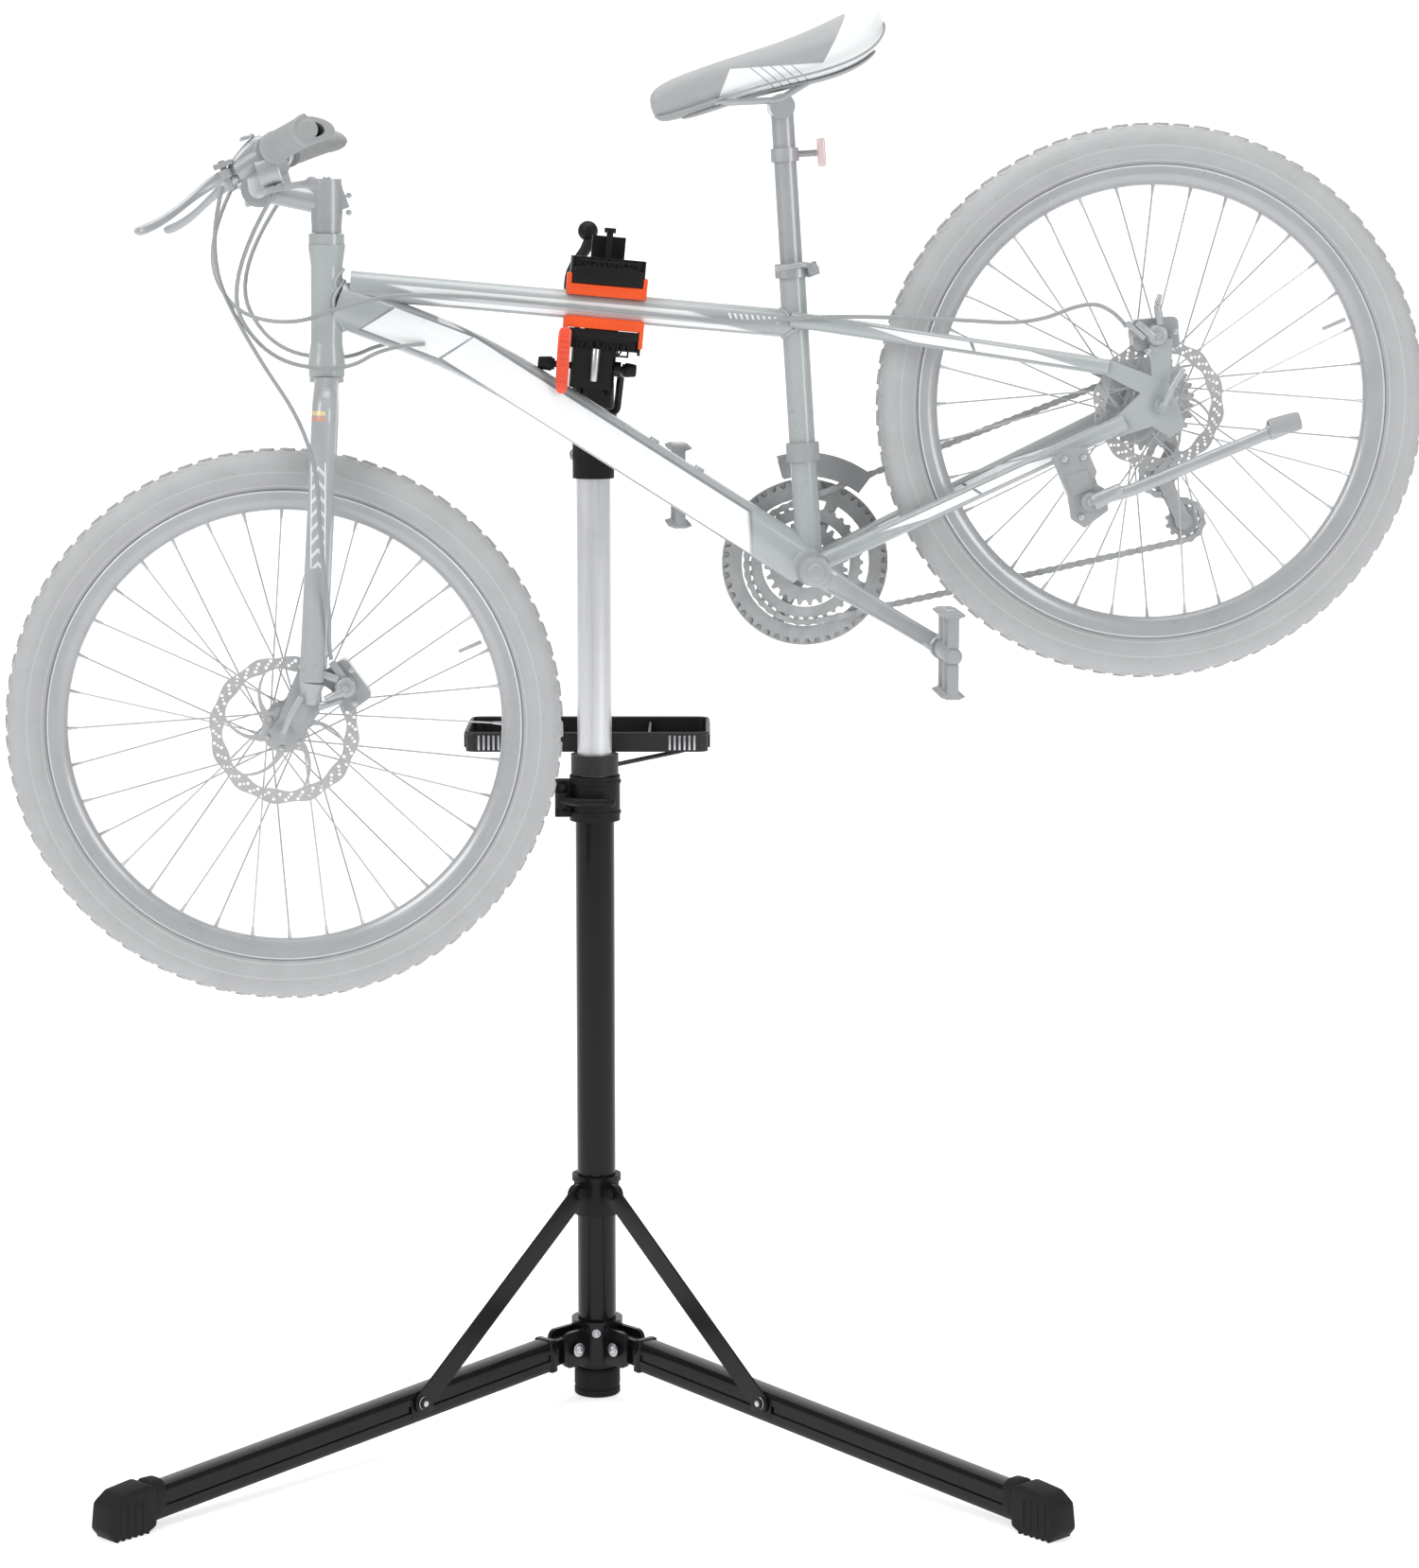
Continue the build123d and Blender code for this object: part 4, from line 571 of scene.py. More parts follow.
for centre, heading, half in (((267, 0, 185), 28.9, (101, 90, 5.2)), ((215, 0, 21), -5.1, (99, 90, 4.6))):
    paint.decal(line_grey, centre, heading, (half[0] + 3, 90, half[2] + 1.2), slant=0.3, edge=20)
    paint.decal(panel_white, centre, heading, half, slant=0.3, edge=20)
    paint.decal(line_grey, centre, heading, (2.0, 90, half[2]), slant=1.4, edge=10)
mats["frame_paint"] = paint.link()

# %% [markdown]
# The fork leg carries a purely geometric pattern: a column of pale chevrons in a thin outline, ending in
# a point. A Wave-free way to draw it is to fold the coordinate: the distance along the leg plus the
# distance from its middle line, taken modulo one step, gives a V that repeats.

# %% Fork paint with chevrons
fork_low = Vector((-601.6, -62, 78.6))
fork_high = Vector((-483, -62, 385))
fork_heading = -math.degrees(math.atan2(fork_high.z - fork_low.z, fork_high.x - fork_low.x))

fork = Finish("fork_paint", (166, 170, 172), 0.3, mottle=0.05, wear=0.08, worn=(182, 185, 187), fine=1100,
              coarse=12, depth=0.02, Coat_Weight=0.7, Coat_Roughness=0.08)
fork_mid = fork_low.lerp(fork_high, 0.62)
where = fork.tree.nodes.new("ShaderNodeSeparateXYZ")
fork.tree.links.new(fork.bike_point(fork_mid, fork_heading), where.inputs[0])
aside = math_node(fork.tree, "ABSOLUTE", where.outputs["Z"])
folded = math_node(fork.tree, "ADD", where.outputs["X"], math_node(fork.tree, "MULTIPLY", aside, 1.1))
step = math_node(fork.tree, "PINGPONG", folded, 8.0)
chevron = math_node(fork.tree, "GREATER_THAN", step, 5.4)
across = math_node(fork.tree, "LESS_THAN", aside, 9.0)
along = math_node(fork.tree, "LESS_THAN", math_node(fork.tree, "ABSOLUTE", where.outputs["X"]), 62.0)
field = math_node(fork.tree, "MULTIPLY", across, along)
fork.colour = mix(fork.tree, math_node(fork.tree, "MULTIPLY", chevron, field), fork.colour,
                  linear((214, 217, 219)))
rim_line = math_node(fork.tree, "MULTIPLY", math_node(fork.tree, "GREATER_THAN", aside, 7.6), field)
fork.colour = mix(fork.tree, rim_line, fork.colour, linear((230, 232, 233)))
for k in (0, 1):
    fork.decal((226, 205, 150) if k == 0 else (214, 150, 140), fork_low.lerp(fork_high, 0.985 - 0.02 * k),
               fork_heading, (2.6, 60, 8.5), edge=8)
mats["fork_paint"] = fork.link()

# %% [markdown]
# Metals, rubber and cable of the bicycle. The tyre rubber has a circular grain, which is made from the
# distance to the wheel's axle, so the moulding rings run round each sidewall.

# %% Other bicycle finishes
mats["bike_alloy"] = Finish("bike_alloy", (168, 171, 173), 0.34, metal=0.25, mottle=0.06, wear=0.14,
                            worn=(196, 198, 200), fine=1500, coarse=26, depth=0.02, Coat_Weight=0.3).link()
mats["hub_steel"] = Finish("hub_steel", (188, 190, 191), 0.32, metal=0.55, mottle=0.07, fine=1500,
                           coarse=40, depth=0.012).link()
mats["chain_steel"] = Finish("chain_steel", (178, 180, 181), 0.38, metal=0.3, mottle=0.14, wear=0.3,
                             worn=(150, 148, 145), fine=1500, coarse=60, depth=0.02).link()
mats["bike_plastic"] = Finish("bike_plastic", (156, 158, 160), 0.5, mottle=0.07, wear=0.12,
                              worn=(186, 187, 188), fine=1400, coarse=26, depth=0.05).link()
mats["grip_rubber"] = Finish("grip_rubber", (158, 160, 161), 0.72, mottle=0.08, wear=0.2,
                             worn=(178, 178, 178), fine=700, coarse=40, depth=0.1).link()
mats["cable"] = Finish("cable", (150, 153, 154), 0.42, mottle=0.08, fine=1100, coarse=60, depth=0.02,
                       Coat_Weight=0.25).link()


def wheel_finish(name, centre, colour, **settings):
    """A finish with rings about a wheel's axle; returns it with the distance to the axle in mm."""
    made = Finish(name, colour, **settings)
    spot = made.tree.nodes.new("ShaderNodeSeparateXYZ")
    made.tree.links.new(made.bike_point(centre), spot.inputs[0])
    x2 = math_node(made.tree, "MULTIPLY", spot.outputs["X"], spot.outputs["X"])
    z2 = math_node(made.tree, "MULTIPLY", spot.outputs["Z"], spot.outputs["Z"])
    radius = math_node(made.tree, "SQRT", math_node(made.tree, "ADD", x2, z2))
    return made, radius


def rings(made, radius, pitch):
    """Fine circular ridges, as a height between 0 and 1."""
    return math_node(made.tree, "PINGPONG", math_node(made.tree, "DIVIDE", radius, pitch), 1.0)


def between(made, radius, low, high):
    over = math_node(made.tree, "GREATER_THAN", radius, low)
    under = math_node(made.tree, "LESS_THAN", radius, high)
    return math_node(made.tree, "MULTIPLY", over, under)


axles = {"front": (-659, 0, 42), "rear": (455, 0, 41.5)}
for wheel, centre in axles.items():
    made, radius = wheel_finish(wheel + "_tyre", centre, (174, 175, 176), rough=0.66, mottle=0.07, wear=0.2,
                                worn=(176, 177, 178), fine=800, coarse=26, depth=0.12)
    made.add_height(math_node(made.tree, "MULTIPLY", rings(made, radius, 0.9),
                              between(made, radius, 286, 314)), 0.8)
    for low, high in ((289.0, 290.2), (306.0, 307.0)):
        made.colour = mix(made.tree, between(made, radius, low, high), made.colour, linear((188, 189, 191)))
    mats[wheel + "_tyre"] = made.link()
    made, radius = wheel_finish(wheel + "_rim", centre, (170, 172, 174), rough=0.3, metal=0.2, mottle=0.05,
                                fine=1500, coarse=20, depth=0.03, Coat_Weight=0.4)
    made.add_height(math_node(made.tree, "MULTIPLY", rings(made, radius, 0.5),
                              between(made, radius, 272, 284)), 0.7)
    # The pale band at radius 282 to 285 mm, on the rim's outer lip, is a painted highlight ring, not a
    # colour of the rim.
    made.colour = mix(made.tree, between(made, radius, 282.2, 284.6), made.colour, linear((214, 216, 219)))
    mats[wheel + "_rim"] = made.link()
    made, radius = wheel_finish(wheel + "_rotor", centre, (190, 191, 192), rough=0.34, metal=0.6,
                                mottle=0.05, fine=1500, coarse=30, depth=0.02)
    worn_ring = between(made, radius, 72 if wheel == "front" else 62, 92)
    made.add_height(math_node(made.tree, "MULTIPLY", rings(made, radius, 0.6), worn_ring), 1.0)
    mats[wheel + "_rotor"] = made.link()
print(len(mats), "finishes")

# %% [markdown]
# ## Wheels
# A tyre is a moulded casing with rubber blocks on it. The casing is one profile turned about the axle.
# The tread repeats, so one pitch of it is made: two crown blocks, two shoulder blocks and four side
# blocks, each a tapered block that grows out of the casing. That pitch is then copied round the axle.

# %% Tyres
half_casing = [(277.2, 10.5), (285.2, 10.8), (287.4, 14.0), (292, 18.4), (299, 22.0), (307, 24.0),
               (314, 24.2), (321, 22.6), (326, 19.4), (329.4, 14.0), (331.0, 7.0)]
half_inside = [(327.6, 0), (325, 13.5), (314, 21.6), (299, 19.2), (288, 9.8), (277.2, 6.6)]
casing = (half_casing + [(331.4, 0)] + [(r, -y) for r, y in reversed(half_casing)]
          + [(r, -y) for r, y in reversed(half_inside)] + half_inside[1:])
section_r = 307.5
section_w = 24.0
tread_count = 84


def tread_block(name, lean, along, wide, long, high, skew=0.0):
    """A tapered block at an angle of the section, growing 3 mm below the casing to its height."""
    n = Vector((math.cos(lean), math.sin(lean), 0))
    t = Vector((-math.sin(lean), math.cos(lean), 0))
    rings_of_block = []
    for depth, shrink in ((-2.5, 1.15), (high, 0.82)):
        centre = Vector((section_r, 0, along)) + n * (section_w - 0.2 + depth)
        ring = []
        for a, b in ((-1, -1), (1, -1), (1, 1), (-1, 1)):
            ring.append(centre + t * (a * wide / 2 * shrink)
                        + Vector((0, 0, b * long / 2 * shrink + a * skew)))
        rings_of_block.append(ring)
    return grown(name, rings_of_block)


def tyre(wheel):
    shell = lathe(wheel + "_casing", casing, steps=144)
    blocks = []
    for side in (-1, 1):
        shift = 3.2 * side
        blocks.append(tread_block("crown", 0.17 * side, shift, 6.6, 11, 2.6, 1.2 * side))
        blocks.append(tread_block("shoulder", 0.56 * side, -shift, 7.4, 13, 2.5, -1.0 * side))
        blocks.append(tread_block("side", 0.98 * side, shift, 6.4, 9, 2.0))
        blocks.append(tread_block("nub", 1.30 * side, shift + 9, 4.6, 6.5, 1.2))
        blocks.append(tread_block("rib", 1.36 * side, shift - 3, 7.0, 3.0, 0.9))
    tread = joined("tread", blocks)
    around(tread, tread_count)
    return joined(wheel + "_tyre", [shell, tread])


def finish_piece(obj, body, finish, replaced=(), place=bike_place, clear=True):
    settle(obj, place)
    if clear:
        obj.data.materials.clear()
    if not obj.data.materials:
        obj.data.materials.append(mats[finish])
    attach(obj, body)
    if replaced:
        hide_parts(*replaced)
    print(obj.name, len(obj.data.polygons), "faces, rides on", body)
    return obj


for wheel in ("front", "rear"):
    axle_place = bike_place @ Matrix.Translation(Vector(axles[wheel]) * mm)
    finish_piece(tyre(wheel), wheel + "_wheel", wheel + "_tyre", [wheel + "_tyre"], axle_place)

# %% [markdown]
# A double-wall rim is extruded as one section and rolled to a hoop, so it is a turned profile too. The
# spokes come in groups of four that repeat nine times: leading and trailing, on the left and right
# flange. Each has a bend at the flange, and a nipple where it enters the rim.

# %% Rims, spokes and hubs
half_rim = [(284.0, 13.0), (283.0, 13.6), (281.4, 13.2), (274.6, 13.1), (270.5, 12.3), (266, 9.6),
            (262, 7.2), (260.2, 4.2)]
half_bed = [(271, 4), (272.6, 10.6), (274.6, 10.9), (284.0, 10.9)]
rim_section = (half_rim + [(259.8, 0)] + [(r, -y) for r, y in reversed(half_rim)]
               + [(r, -y) for r, y in reversed(half_bed)] + half_bed)
hub_sizes = {"front": dict(left=-28.0, right=33.0, hole=22.0, half=46.0, end=46.0, barrel=15.0, rotor=-41.0,
                           disc=90.0),
             "rear": dict(left=-37.0, right=22.0, hole=24.0, half=60.0, end=26.0, barrel=18.0, rotor=-52.5,
                          disc=80.0)}


def spokes(wheel, hub):
    parts = []
    for k in range(4):
        flange = 1 if k % 2 else -1
        lean = 1 if (k // 2) % 2 else -1
        a = 2 * math.pi * k / 36
        b = a + lean * math.radians(62)
        y = hub["right"] if flange > 0 else hub["left"]
        head = Vector((hub["hole"] * math.cos(b), y + 2.6 * lean, hub["hole"] * math.sin(b)))
        tip = Vector((259.5 * math.cos(a), 2.0 * flange, 259.5 * math.sin(a)))
        along = (tip - head).normalized()
        parts.append(bar("wire", head, tip, 1.0, sides=6))
        parts.append(bar("elbow", head + Vector((0, 0.8 * lean, 0)), head - Vector((0, 4.4 * lean, 0)), 1.5,
                         1.1, 8))
        parts.append(bar("nipple", tip - along * 11, tip + along * 1.5, 1.5, 2.4, 8))
    wires = joined(wheel + "_spokes", parts)
    around(wires, 9)
    return wires


def hub_shell(wheel, hub):
    lo, hi, rf = hub["left"], hub["right"], hub["hole"] + 5
    outline = [(5.1, -hub["half"]), (10.6, -hub["half"]), (11.5, -hub["half"] + 1),
               (11.5, hub["rotor"] + 1.3), (21, hub["rotor"] + 1.3), (22, hub["rotor"] + 2.4),
               (22, lo - 3), (rf, lo - 1.7), (rf + 0.4, lo), (rf, lo + 1.7),
               (hub["barrel"] + 2.4, lo + 3.2), (hub["barrel"], lo + 9),
               (hub["barrel"] - 1.2, (lo + hi) / 2), (hub["barrel"], hi - 9),
               (hub["barrel"] + 2.4, hi - 3.2), (rf, hi - 1.7), (rf + 0.4, hi), (rf, hi + 1.7),
               (hub["barrel"], hi + 2.6), (12.0, hi + 3.4), (11.5, hub["end"] - 1),
               (10.6, hub["end"]), (5.1, hub["end"])]
    return lathe(wheel + "_shell", outline, steps=48)


for wheel in ("front", "rear"):
    axle_place = bike_place @ Matrix.Translation(Vector(axles[wheel]) * mm)
    hoop = lathe(wheel + "_rim", rim_section, steps=144)
    valve = bar("valve", (256, 0, 12), (226, 0, 10.6), 2.6, 2.2, 12, 0.4)
    hoop = joined(wheel + "_rim", [hoop, valve])
    finish_piece(hoop, wheel + "_wheel", wheel + "_rim", [wheel + "_rim"], axle_place)
    whole = joined(wheel + "_hub", [hub_shell(wheel, hub_sizes[wheel]), spokes(wheel, hub_sizes[wheel])])
    finish_piece(whole, wheel + "_wheel", "hub_steel", [wheel + "_hub"], axle_place)

# %% [markdown]
# A disc rotor is a laser-cut steel sheet: a wavy outer edge, two rows of drilled holes, swept arms and a
# six-bolt centre. The wave is in the outline. The openings are cut with one Boolean by a set of drill
# shapes, which is how a cutting table works too.

# %% Rotors
def wave(r, depth, lobes, count, phase=0.0):
    return [((r + depth * math.cos(lobes * t + phase)) * math.cos(t),
             (r + depth * math.cos(lobes * t + phase)) * math.sin(t))
            for t in (2 * math.pi * i / count for i in range(count))]


def rotor(wheel, hub):
    r, y = hub["disc"], hub["rotor"]
    sheet = plate(wheel + "_rotor", wave(r - 1.6, 1.6, 12, 144), y, 1.9)
    window = plate("window", wave(r - 17.2, 1.4, 12, 72, math.pi), y, 8)
    drills = []
    for reach, size, turn in ((r - 5.6, 1.9, 0), (r - 12.2, 1.9, 5), (r - 8.8, 1.3, 2.5)):
        t = math.radians(turn)
        drills.append(bar("drill", (reach * math.cos(t), y - 5, reach * math.sin(t)),
                          (reach * math.cos(t), y + 5, reach * math.sin(t)), size, sides=10))
    drill_set = joined("drills", drills)
    around(drill_set, 36)
    cutter = joined("cutter", [window, drill_set])
    use(sheet, "BOOLEAN", object=cutter, operation="DIFFERENCE", solver="EXACT", use_self=True)
    bpy.data.objects.remove(cutter)
    arm_rings = []
    for k in range(7):
        q = k / 6
        reach = 24 + (r - 15.5 - 24) * q
        t = math.radians(-34 * q ** 1.3)
        centre = Vector((reach * math.cos(t), y, reach * math.sin(t)))
        wide = 5.4 - 2.6 * math.sin(math.pi * q)
        cross = Vector((-math.sin(t + 0.5 * q), 0, math.cos(t + 0.5 * q)))
        arm_rings.append([centre + cross * wide * a + Vector((0, 0.93 * b, 0))
                          for a, b in ((-1, -1), (1, -1), (1, 1), (-1, 1))])
    arms = grown("arms", arm_rings)
    around(arms, 6)
    centre_ring = lathe("centre_ring", [(12.1, y - 0.95), (27, y - 0.95), (27, y + 0.95), (12.1, y + 0.95)],
                        steps=48)
    bolt = bar("bolt", (21.6, y - 0.9, 0), (21.6, y - 3.6, 0), 3.6, 3.0, 12, 0.5)
    around(bolt, 6)
    return joined(wheel + "_rotor", [sheet, arms, centre_ring, bolt])


for wheel in ("front", "rear"):
    axle_place = bike_place @ Matrix.Translation(Vector(axles[wheel]) * mm)
    made = rotor(wheel, hub_sizes[wheel])
    smooth(made, 30)
    finish_piece(made, wheel + "_wheel", wheel + "_rotor", (), axle_place)

# %% [markdown]
# ## Drivetrain
# Sprockets are stamped from sheet, and their teeth are what makes them read as sprockets. A gear's
# outline has four points for each tooth, and the plate gets its hole from a Boolean with a round bar.
# Sprockets that carry the chain have teeth just short of its pins, so that they can turn under it.

# %% Toothed plates
def pitch_radius(teeth):
    return 12.7 / (2 * math.sin(math.pi / teeth))


def gear(name, teeth, y, thick, hole, engaged=False, centre=(0, 0)):
    tip = pitch_radius(teeth) + (-2.3 if engaged else 3.0)
    root = tip - (3.6 if engaged else 6.2)
    outline = []
    for i in range(teeth):
        for k, r in ((-0.34, root), (-0.13, tip), (0.13, tip), (0.34, root)):
            t = 2 * math.pi * (i + k) / teeth
            outline.append((centre[0] + r * math.cos(t), centre[1] + r * math.sin(t)))
    wheel = plate(name, outline, y, thick)
    drill = bar("drill", (centre[0], y - 6, centre[1]), (centre[0], y + 6, centre[1]), hole, sides=48)
    use(wheel, "BOOLEAN", object=drill, operation="DIFFERENCE", solver="EXACT")
    bpy.data.objects.remove(drill)
    return wheel


rear_axle = (455, 41.5)
cogs = []
for i, teeth in enumerate((28, 24, 22, 20, 18, 16, 14)):
    cogs.append(gear("cog", teeth, 31 + 5 * i, 1.8, 18.2, teeth == 18, rear_axle))
cog_body = lathe("cog_body", [(5.1, 27), (17, 27), (19, 29), (19, 61), (17.5, 63.4), (9, 63.4), (5.1, 62)],
                 steps=40)
settle(cog_body, Matrix.Translation((rear_axle[0] * mm, 0, rear_axle[1] * mm)))
finish_piece(joined("cassette", cogs + [cog_body]), "freewheel", "chain_steel", ["cassette"])

# %% [markdown]
# Three chainrings sit on a four-armed spider, with a perforated guard outside them. The guard's holes
# are drilled by one cylinder, copied round.

# %% Chainrings, spider and guard
rings_made = [gear("ring", teeth, y, 2.0, pitch_radius(teeth) - 19, teeth == 36)
              for teeth, y in ((24, 44), (36, 51), (48, 58))]
guard = lathe("guard", [(82, 61.4), (101, 61.4), (102, 62.4), (101, 63.4), (82, 63.4), (81, 62.4)],
              steps=96)
drill = bar("drill", (91.5, 55, 0), (91.5, 70, 0), 3.6, sides=12)
around(drill, 24)
use(guard, "BOOLEAN", object=drill, operation="DIFFERENCE", solver="EXACT", use_self=True)
bpy.data.objects.remove(drill)
spider_arm = grown("spider_arm", [[(x, y, z) for y, z in ((58.9, -w), (58.9, w), (61.2, w), (61.2, -w))]
                                  for x, w in ((12, 13), (30, 9), (60, 6.5), (86, 8))])
post_low = bar("ring_post", (40, 43.4, 0), (40, 60, 0), 4.0, sides=16, soft=0.5)
post_mid = bar("ring_post", (60, 50.2, 0), (60, 62.6, 0), 4.5, sides=16, soft=0.6)
spider = joined("spider", [spider_arm, post_low, post_mid])
around(spider, 4)
settle(spider, Matrix.Rotation(math.radians(45), 4, "Y"))
boss = lathe("boss", [(8.6, 48.6), (18.6, 48.6), (20, 50), (20, 63.6), (18.4, 65.2), (8.6, 65.2)], steps=40)
finish_piece(joined("chainrings", rings_made + [guard, spider, boss]), "crankset", "chain_steel",
             ["chainrings"])

# %% [markdown]
# A forged crank arm tapers from the axle's eye to the pedal's eye and has a shallow groove along its
# face. It is grown through six rounded sections, and the two eyes are turned parts joined to it.

# %% Cranks
crank_angle = math.radians(-51)


def crank(side):
    turn = crank_angle if side < 0 else crank_angle + math.pi
    along = Vector((math.cos(turn), 0, math.sin(turn)))
    cross = Vector((-math.sin(turn), 0, math.cos(turn)))
    out = Vector((0, side, 0))
    sections = []
    for q, wide, deep, y in ((0.0, 15, 6.6, 75), (0.12, 14.5, 6.6, 76), (0.3, 12.5, 6.2, 78.4),
                             (0.6, 10.8, 5.6, 81), (0.88, 10.6, 5.4, 82.6), (1.0, 12, 5.6, 83)):
        centre = along * (175 * q) + out * y
        sections.append(oval(centre, cross, out, wide, deep, 12, 0.55))
    arm = grown("crank", sections)
    edit(arm)
    pick(arm, lambda m, n: n.dot(out) > 0.95 and 26 < m.dot(along) < 150)
    bpy.ops.mesh.inset(thickness=0.002, depth=-0.0012)
    done()
    smooth(arm, 40)
    eye = bar("eye", (0, side * 66.6, 0), (0, side * 84.4, 0), 18.6, 17.4, 40, 1.4)
    cap = bar("dust_cap", (0, side * 84.2, 0), (0, side * 86, 0), 11, 9.4, 32, 0.5)
    end = along * 175
    pedal_eye = lathe("pedal_eye",
                      [(7.2, side * 74.4), (13.4, side * 74.4), (15, side * 76), (15, side * 89.2),
                                    (13.2, side * 90.8), (7.2, side * 90.8)], steps=40)
    settle(pedal_eye, Matrix.Translation(end * mm))
    return [arm, eye, cap, pedal_eye]


spindle = bar("spindle", (0, -70, 0), (0, 70, 0), 8.5, sides=32, soft=0.8)
finish_piece(joined("crank_arms", crank(-1) + crank(1) + [spindle]), "crankset", "bike_alloy",
             ["crank_arms"])

# %% [markdown]
# A platform pedal is a barrel with a cage round it. The two long rails have a row of teeth for grip, and
# each rail carries a small reflector. The rails are blocks, the teeth small tapered blocks on them.

# %% Pedals
def pedal(side, name):
    turn = crank_angle if side < 0 else crank_angle + math.pi
    end = Vector((175 * math.cos(turn), 0, 175 * math.sin(turn)))
    parts = [bar("barrel", (0, side * 103, 0), (0, side * 191, 0), 11.5, 10.5, 32, 1.6),
             bar("axle", (0, side * 75, 0), (0, side * 104, 0), 6.9, sides=24, soft=0.8),
             bar("end_cap", (0, side * 190, 0), (0, side * 195.6, 0), 9, 7.4, 24, 1.2)]
    for x in (-47.5, 47.5):
        parts.append(box("rail", x - 3.5, x + 3.5, side * 100, side * 192, -9.5, 9.5, 2.2))
        for k in range(9):
            y = side * (105 + 10.2 * k)
            for z in (-1, 1):
                parts.append(bar("tooth", (x, y, z * 8.5), (x, y, z * 14.2), 3.0, 1.3, 4))
    for y in (103.5, 146, 188.5):
        w = 3.4 if y != 146 else 5.0
        parts.append(box("bridge", -46, -9, side * (y - w), side * (y + w), -6.5, 6.5, 2.0))
        parts.append(box("bridge", 9, 46, side * (y - w), side * (y + w), -6.5, 6.5, 2.0))
    lens = [box("lens", x - 1.4, x + 1.4, side * 128, side * 164, -6, 6, 1.0) for x in (-50.6, 50.6)]
    local = bike_place @ Matrix.Translation(end * mm) @ Matrix.Rotation(math.radians(20.2 + 90), 4, "Y")
    body = "pedal_" + name[0]
    finish_piece(joined("pedal_" + name, parts), body, "bike_plastic", ["pedal_" + name],
                 local)
    finish_piece(joined("pedal_lens_" + name, lens), body, "hub_steel", (), local)


pedal(-1, "left")
pedal(1, "right")

# %% [markdown]
# The chain is what ties the wheels' sprockets together, so its path is worked out as it really runs:
# arcs on the circles it wraps, and straight runs that touch both. Links are then set along that path at
# their pitch. Outer and inner plates alternate, and each link is a copy of one modelled pair.

# %% Chain
chain_y = 51
wraps = [((0, 0), pitch_radius(36), 1), ((453, -114), pitch_radius(12), 1),
         ((446, -52), pitch_radius(12), -1), (rear_axle, pitch_radius(18), 1)]


def tangent(c1, r1, s1, c2, r2, s2):
    dx, dz = c2[0] - c1[0], c2[1] - c1[1]
    heading = math.atan2(dz, dx) + math.asin((s1 * r1 - s2 * r2) / math.hypot(dx, dz))
    nx, nz = math.sin(heading), -math.cos(heading)
    return (c1[0] + nx * r1 * s1, c1[1] + nz * r1 * s1), (c2[0] + nx * r2 * s2, c2[1] + nz * r2 * s2)


def chain_path():
    runs = [tangent(*wraps[i], *wraps[(i + 1) % 4]) for i in range(4)]
    points = []
    for i, (p, q) in enumerate(runs):
        steps = max(2, int(math.dist(p, q) / 2))
        points += [(p[0] + (q[0] - p[0]) * k / steps, p[1] + (q[1] - p[1]) * k / steps)
                   for k in range(steps)]
        c, r, s = wraps[(i + 1) % 4]
        nxt = runs[(i + 1) % 4][0]
        a0 = math.atan2(q[1] - c[1], q[0] - c[0])
        a1 = math.atan2(nxt[1] - c[1], nxt[0] - c[0])
        sweep = (a1 - a0) % (2 * math.pi) if s > 0 else -((a0 - a1) % (2 * math.pi))
        steps = max(2, int(abs(sweep) * r / 2))
        points += [(c[0] + r * math.cos(a0 + sweep * k / steps),
                    c[1] + r * math.sin(a0 + sweep * k / steps))
                   for k in range(steps)]
    return points


def along_path(points, count):
    """Points at even spacing along a closed path."""
    gaps = [math.dist(points[i], points[(i + 1) % len(points)]) for i in range(len(points))]
    step = sum(gaps) / count
    out, travelled, goal = [], 0.0, 0.0
    for i, gap in enumerate(gaps):
        a, b = points[i], points[(i + 1) % len(points)]
        while goal < travelled + gap and len(out) < count:
            k = (goal - travelled) / gap
            out.append((a[0] + (b[0] - a[0]) * k, a[1] + (b[1] - a[1]) * k))
            goal += step
        travelled += gap
    return out, step


path = chain_path()
length = sum(math.dist(path[i], path[(i + 1) % len(path)]) for i in range(len(path)))
link_count = 2 * round(length / 12.7 / 2)
spots, pitch = along_path(path, link_count)
print("chain:", link_count, "links of", round(pitch, 2), "mm")


def link_pair(offset, name):
    """Two waisted side plates and a pin, from 0 to one pitch along x."""
    outline = []
    for cx, first in ((pitch, -90), (0, 90)):
        for k in range(6):
            t = math.radians(first + 36 * k)
            outline.append((cx + 4.1 * math.cos(t), 4.1 * math.sin(t)))
        outline.append((pitch / 2, 2.9 if first < 0 else -2.9))
    shapes = [plate("side_plate", outline, y, 0.95) for y in (-offset, offset)]
    shapes.append(bar("pin", (0, -3.7, 0), (0, 3.7, 0), 1.7, sides=8))
    return joined(name, shapes)


patterns = [link_pair(3.1, "outer_link"), link_pair(2.0, "inner_link")]
links = []
for i, (x, z) in enumerate(spots):
    nx, nz = spots[(i + 1) % link_count]
    copy = patterns[i % 2].copy()
    copy.data = patterns[i % 2].data.copy()
    bpy.context.collection.objects.link(copy)
    copy.matrix_world = (Matrix.Translation((x * mm, chain_y * mm, z * mm))
                         @ Matrix.Rotation(-math.atan2(nz - z, nx - x), 4, "Y"))
    links.append(copy)
for pattern in patterns:
    bpy.data.objects.remove(pattern)
chain = joined("chain", links)
settle(chain)
finish_piece(chain, "bike_frame", "chain_steel", ["chain"])

for name, body, centre in (("pulley_guide", "pulley_g", (446, -52)),
                           ("pulley_tension", "pulley_t", (453, -114))):
    toothed = gear(name, 12, chain_y, 3.0, 3.1, True, centre)
    middle = lathe("bearing",
                   [(3.1, chain_y - 3.5), (8.4, chain_y - 3.5), (9, chain_y - 3), (9, chain_y + 3),
                               (8.4, chain_y + 3.5), (3.1, chain_y + 3.5)], steps=32)
    settle(middle, Matrix.Translation((centre[0] * mm, 0, centre[1] * mm)))
    finish_piece(joined(name, [toothed, middle]), body, "bike_plastic", [name])

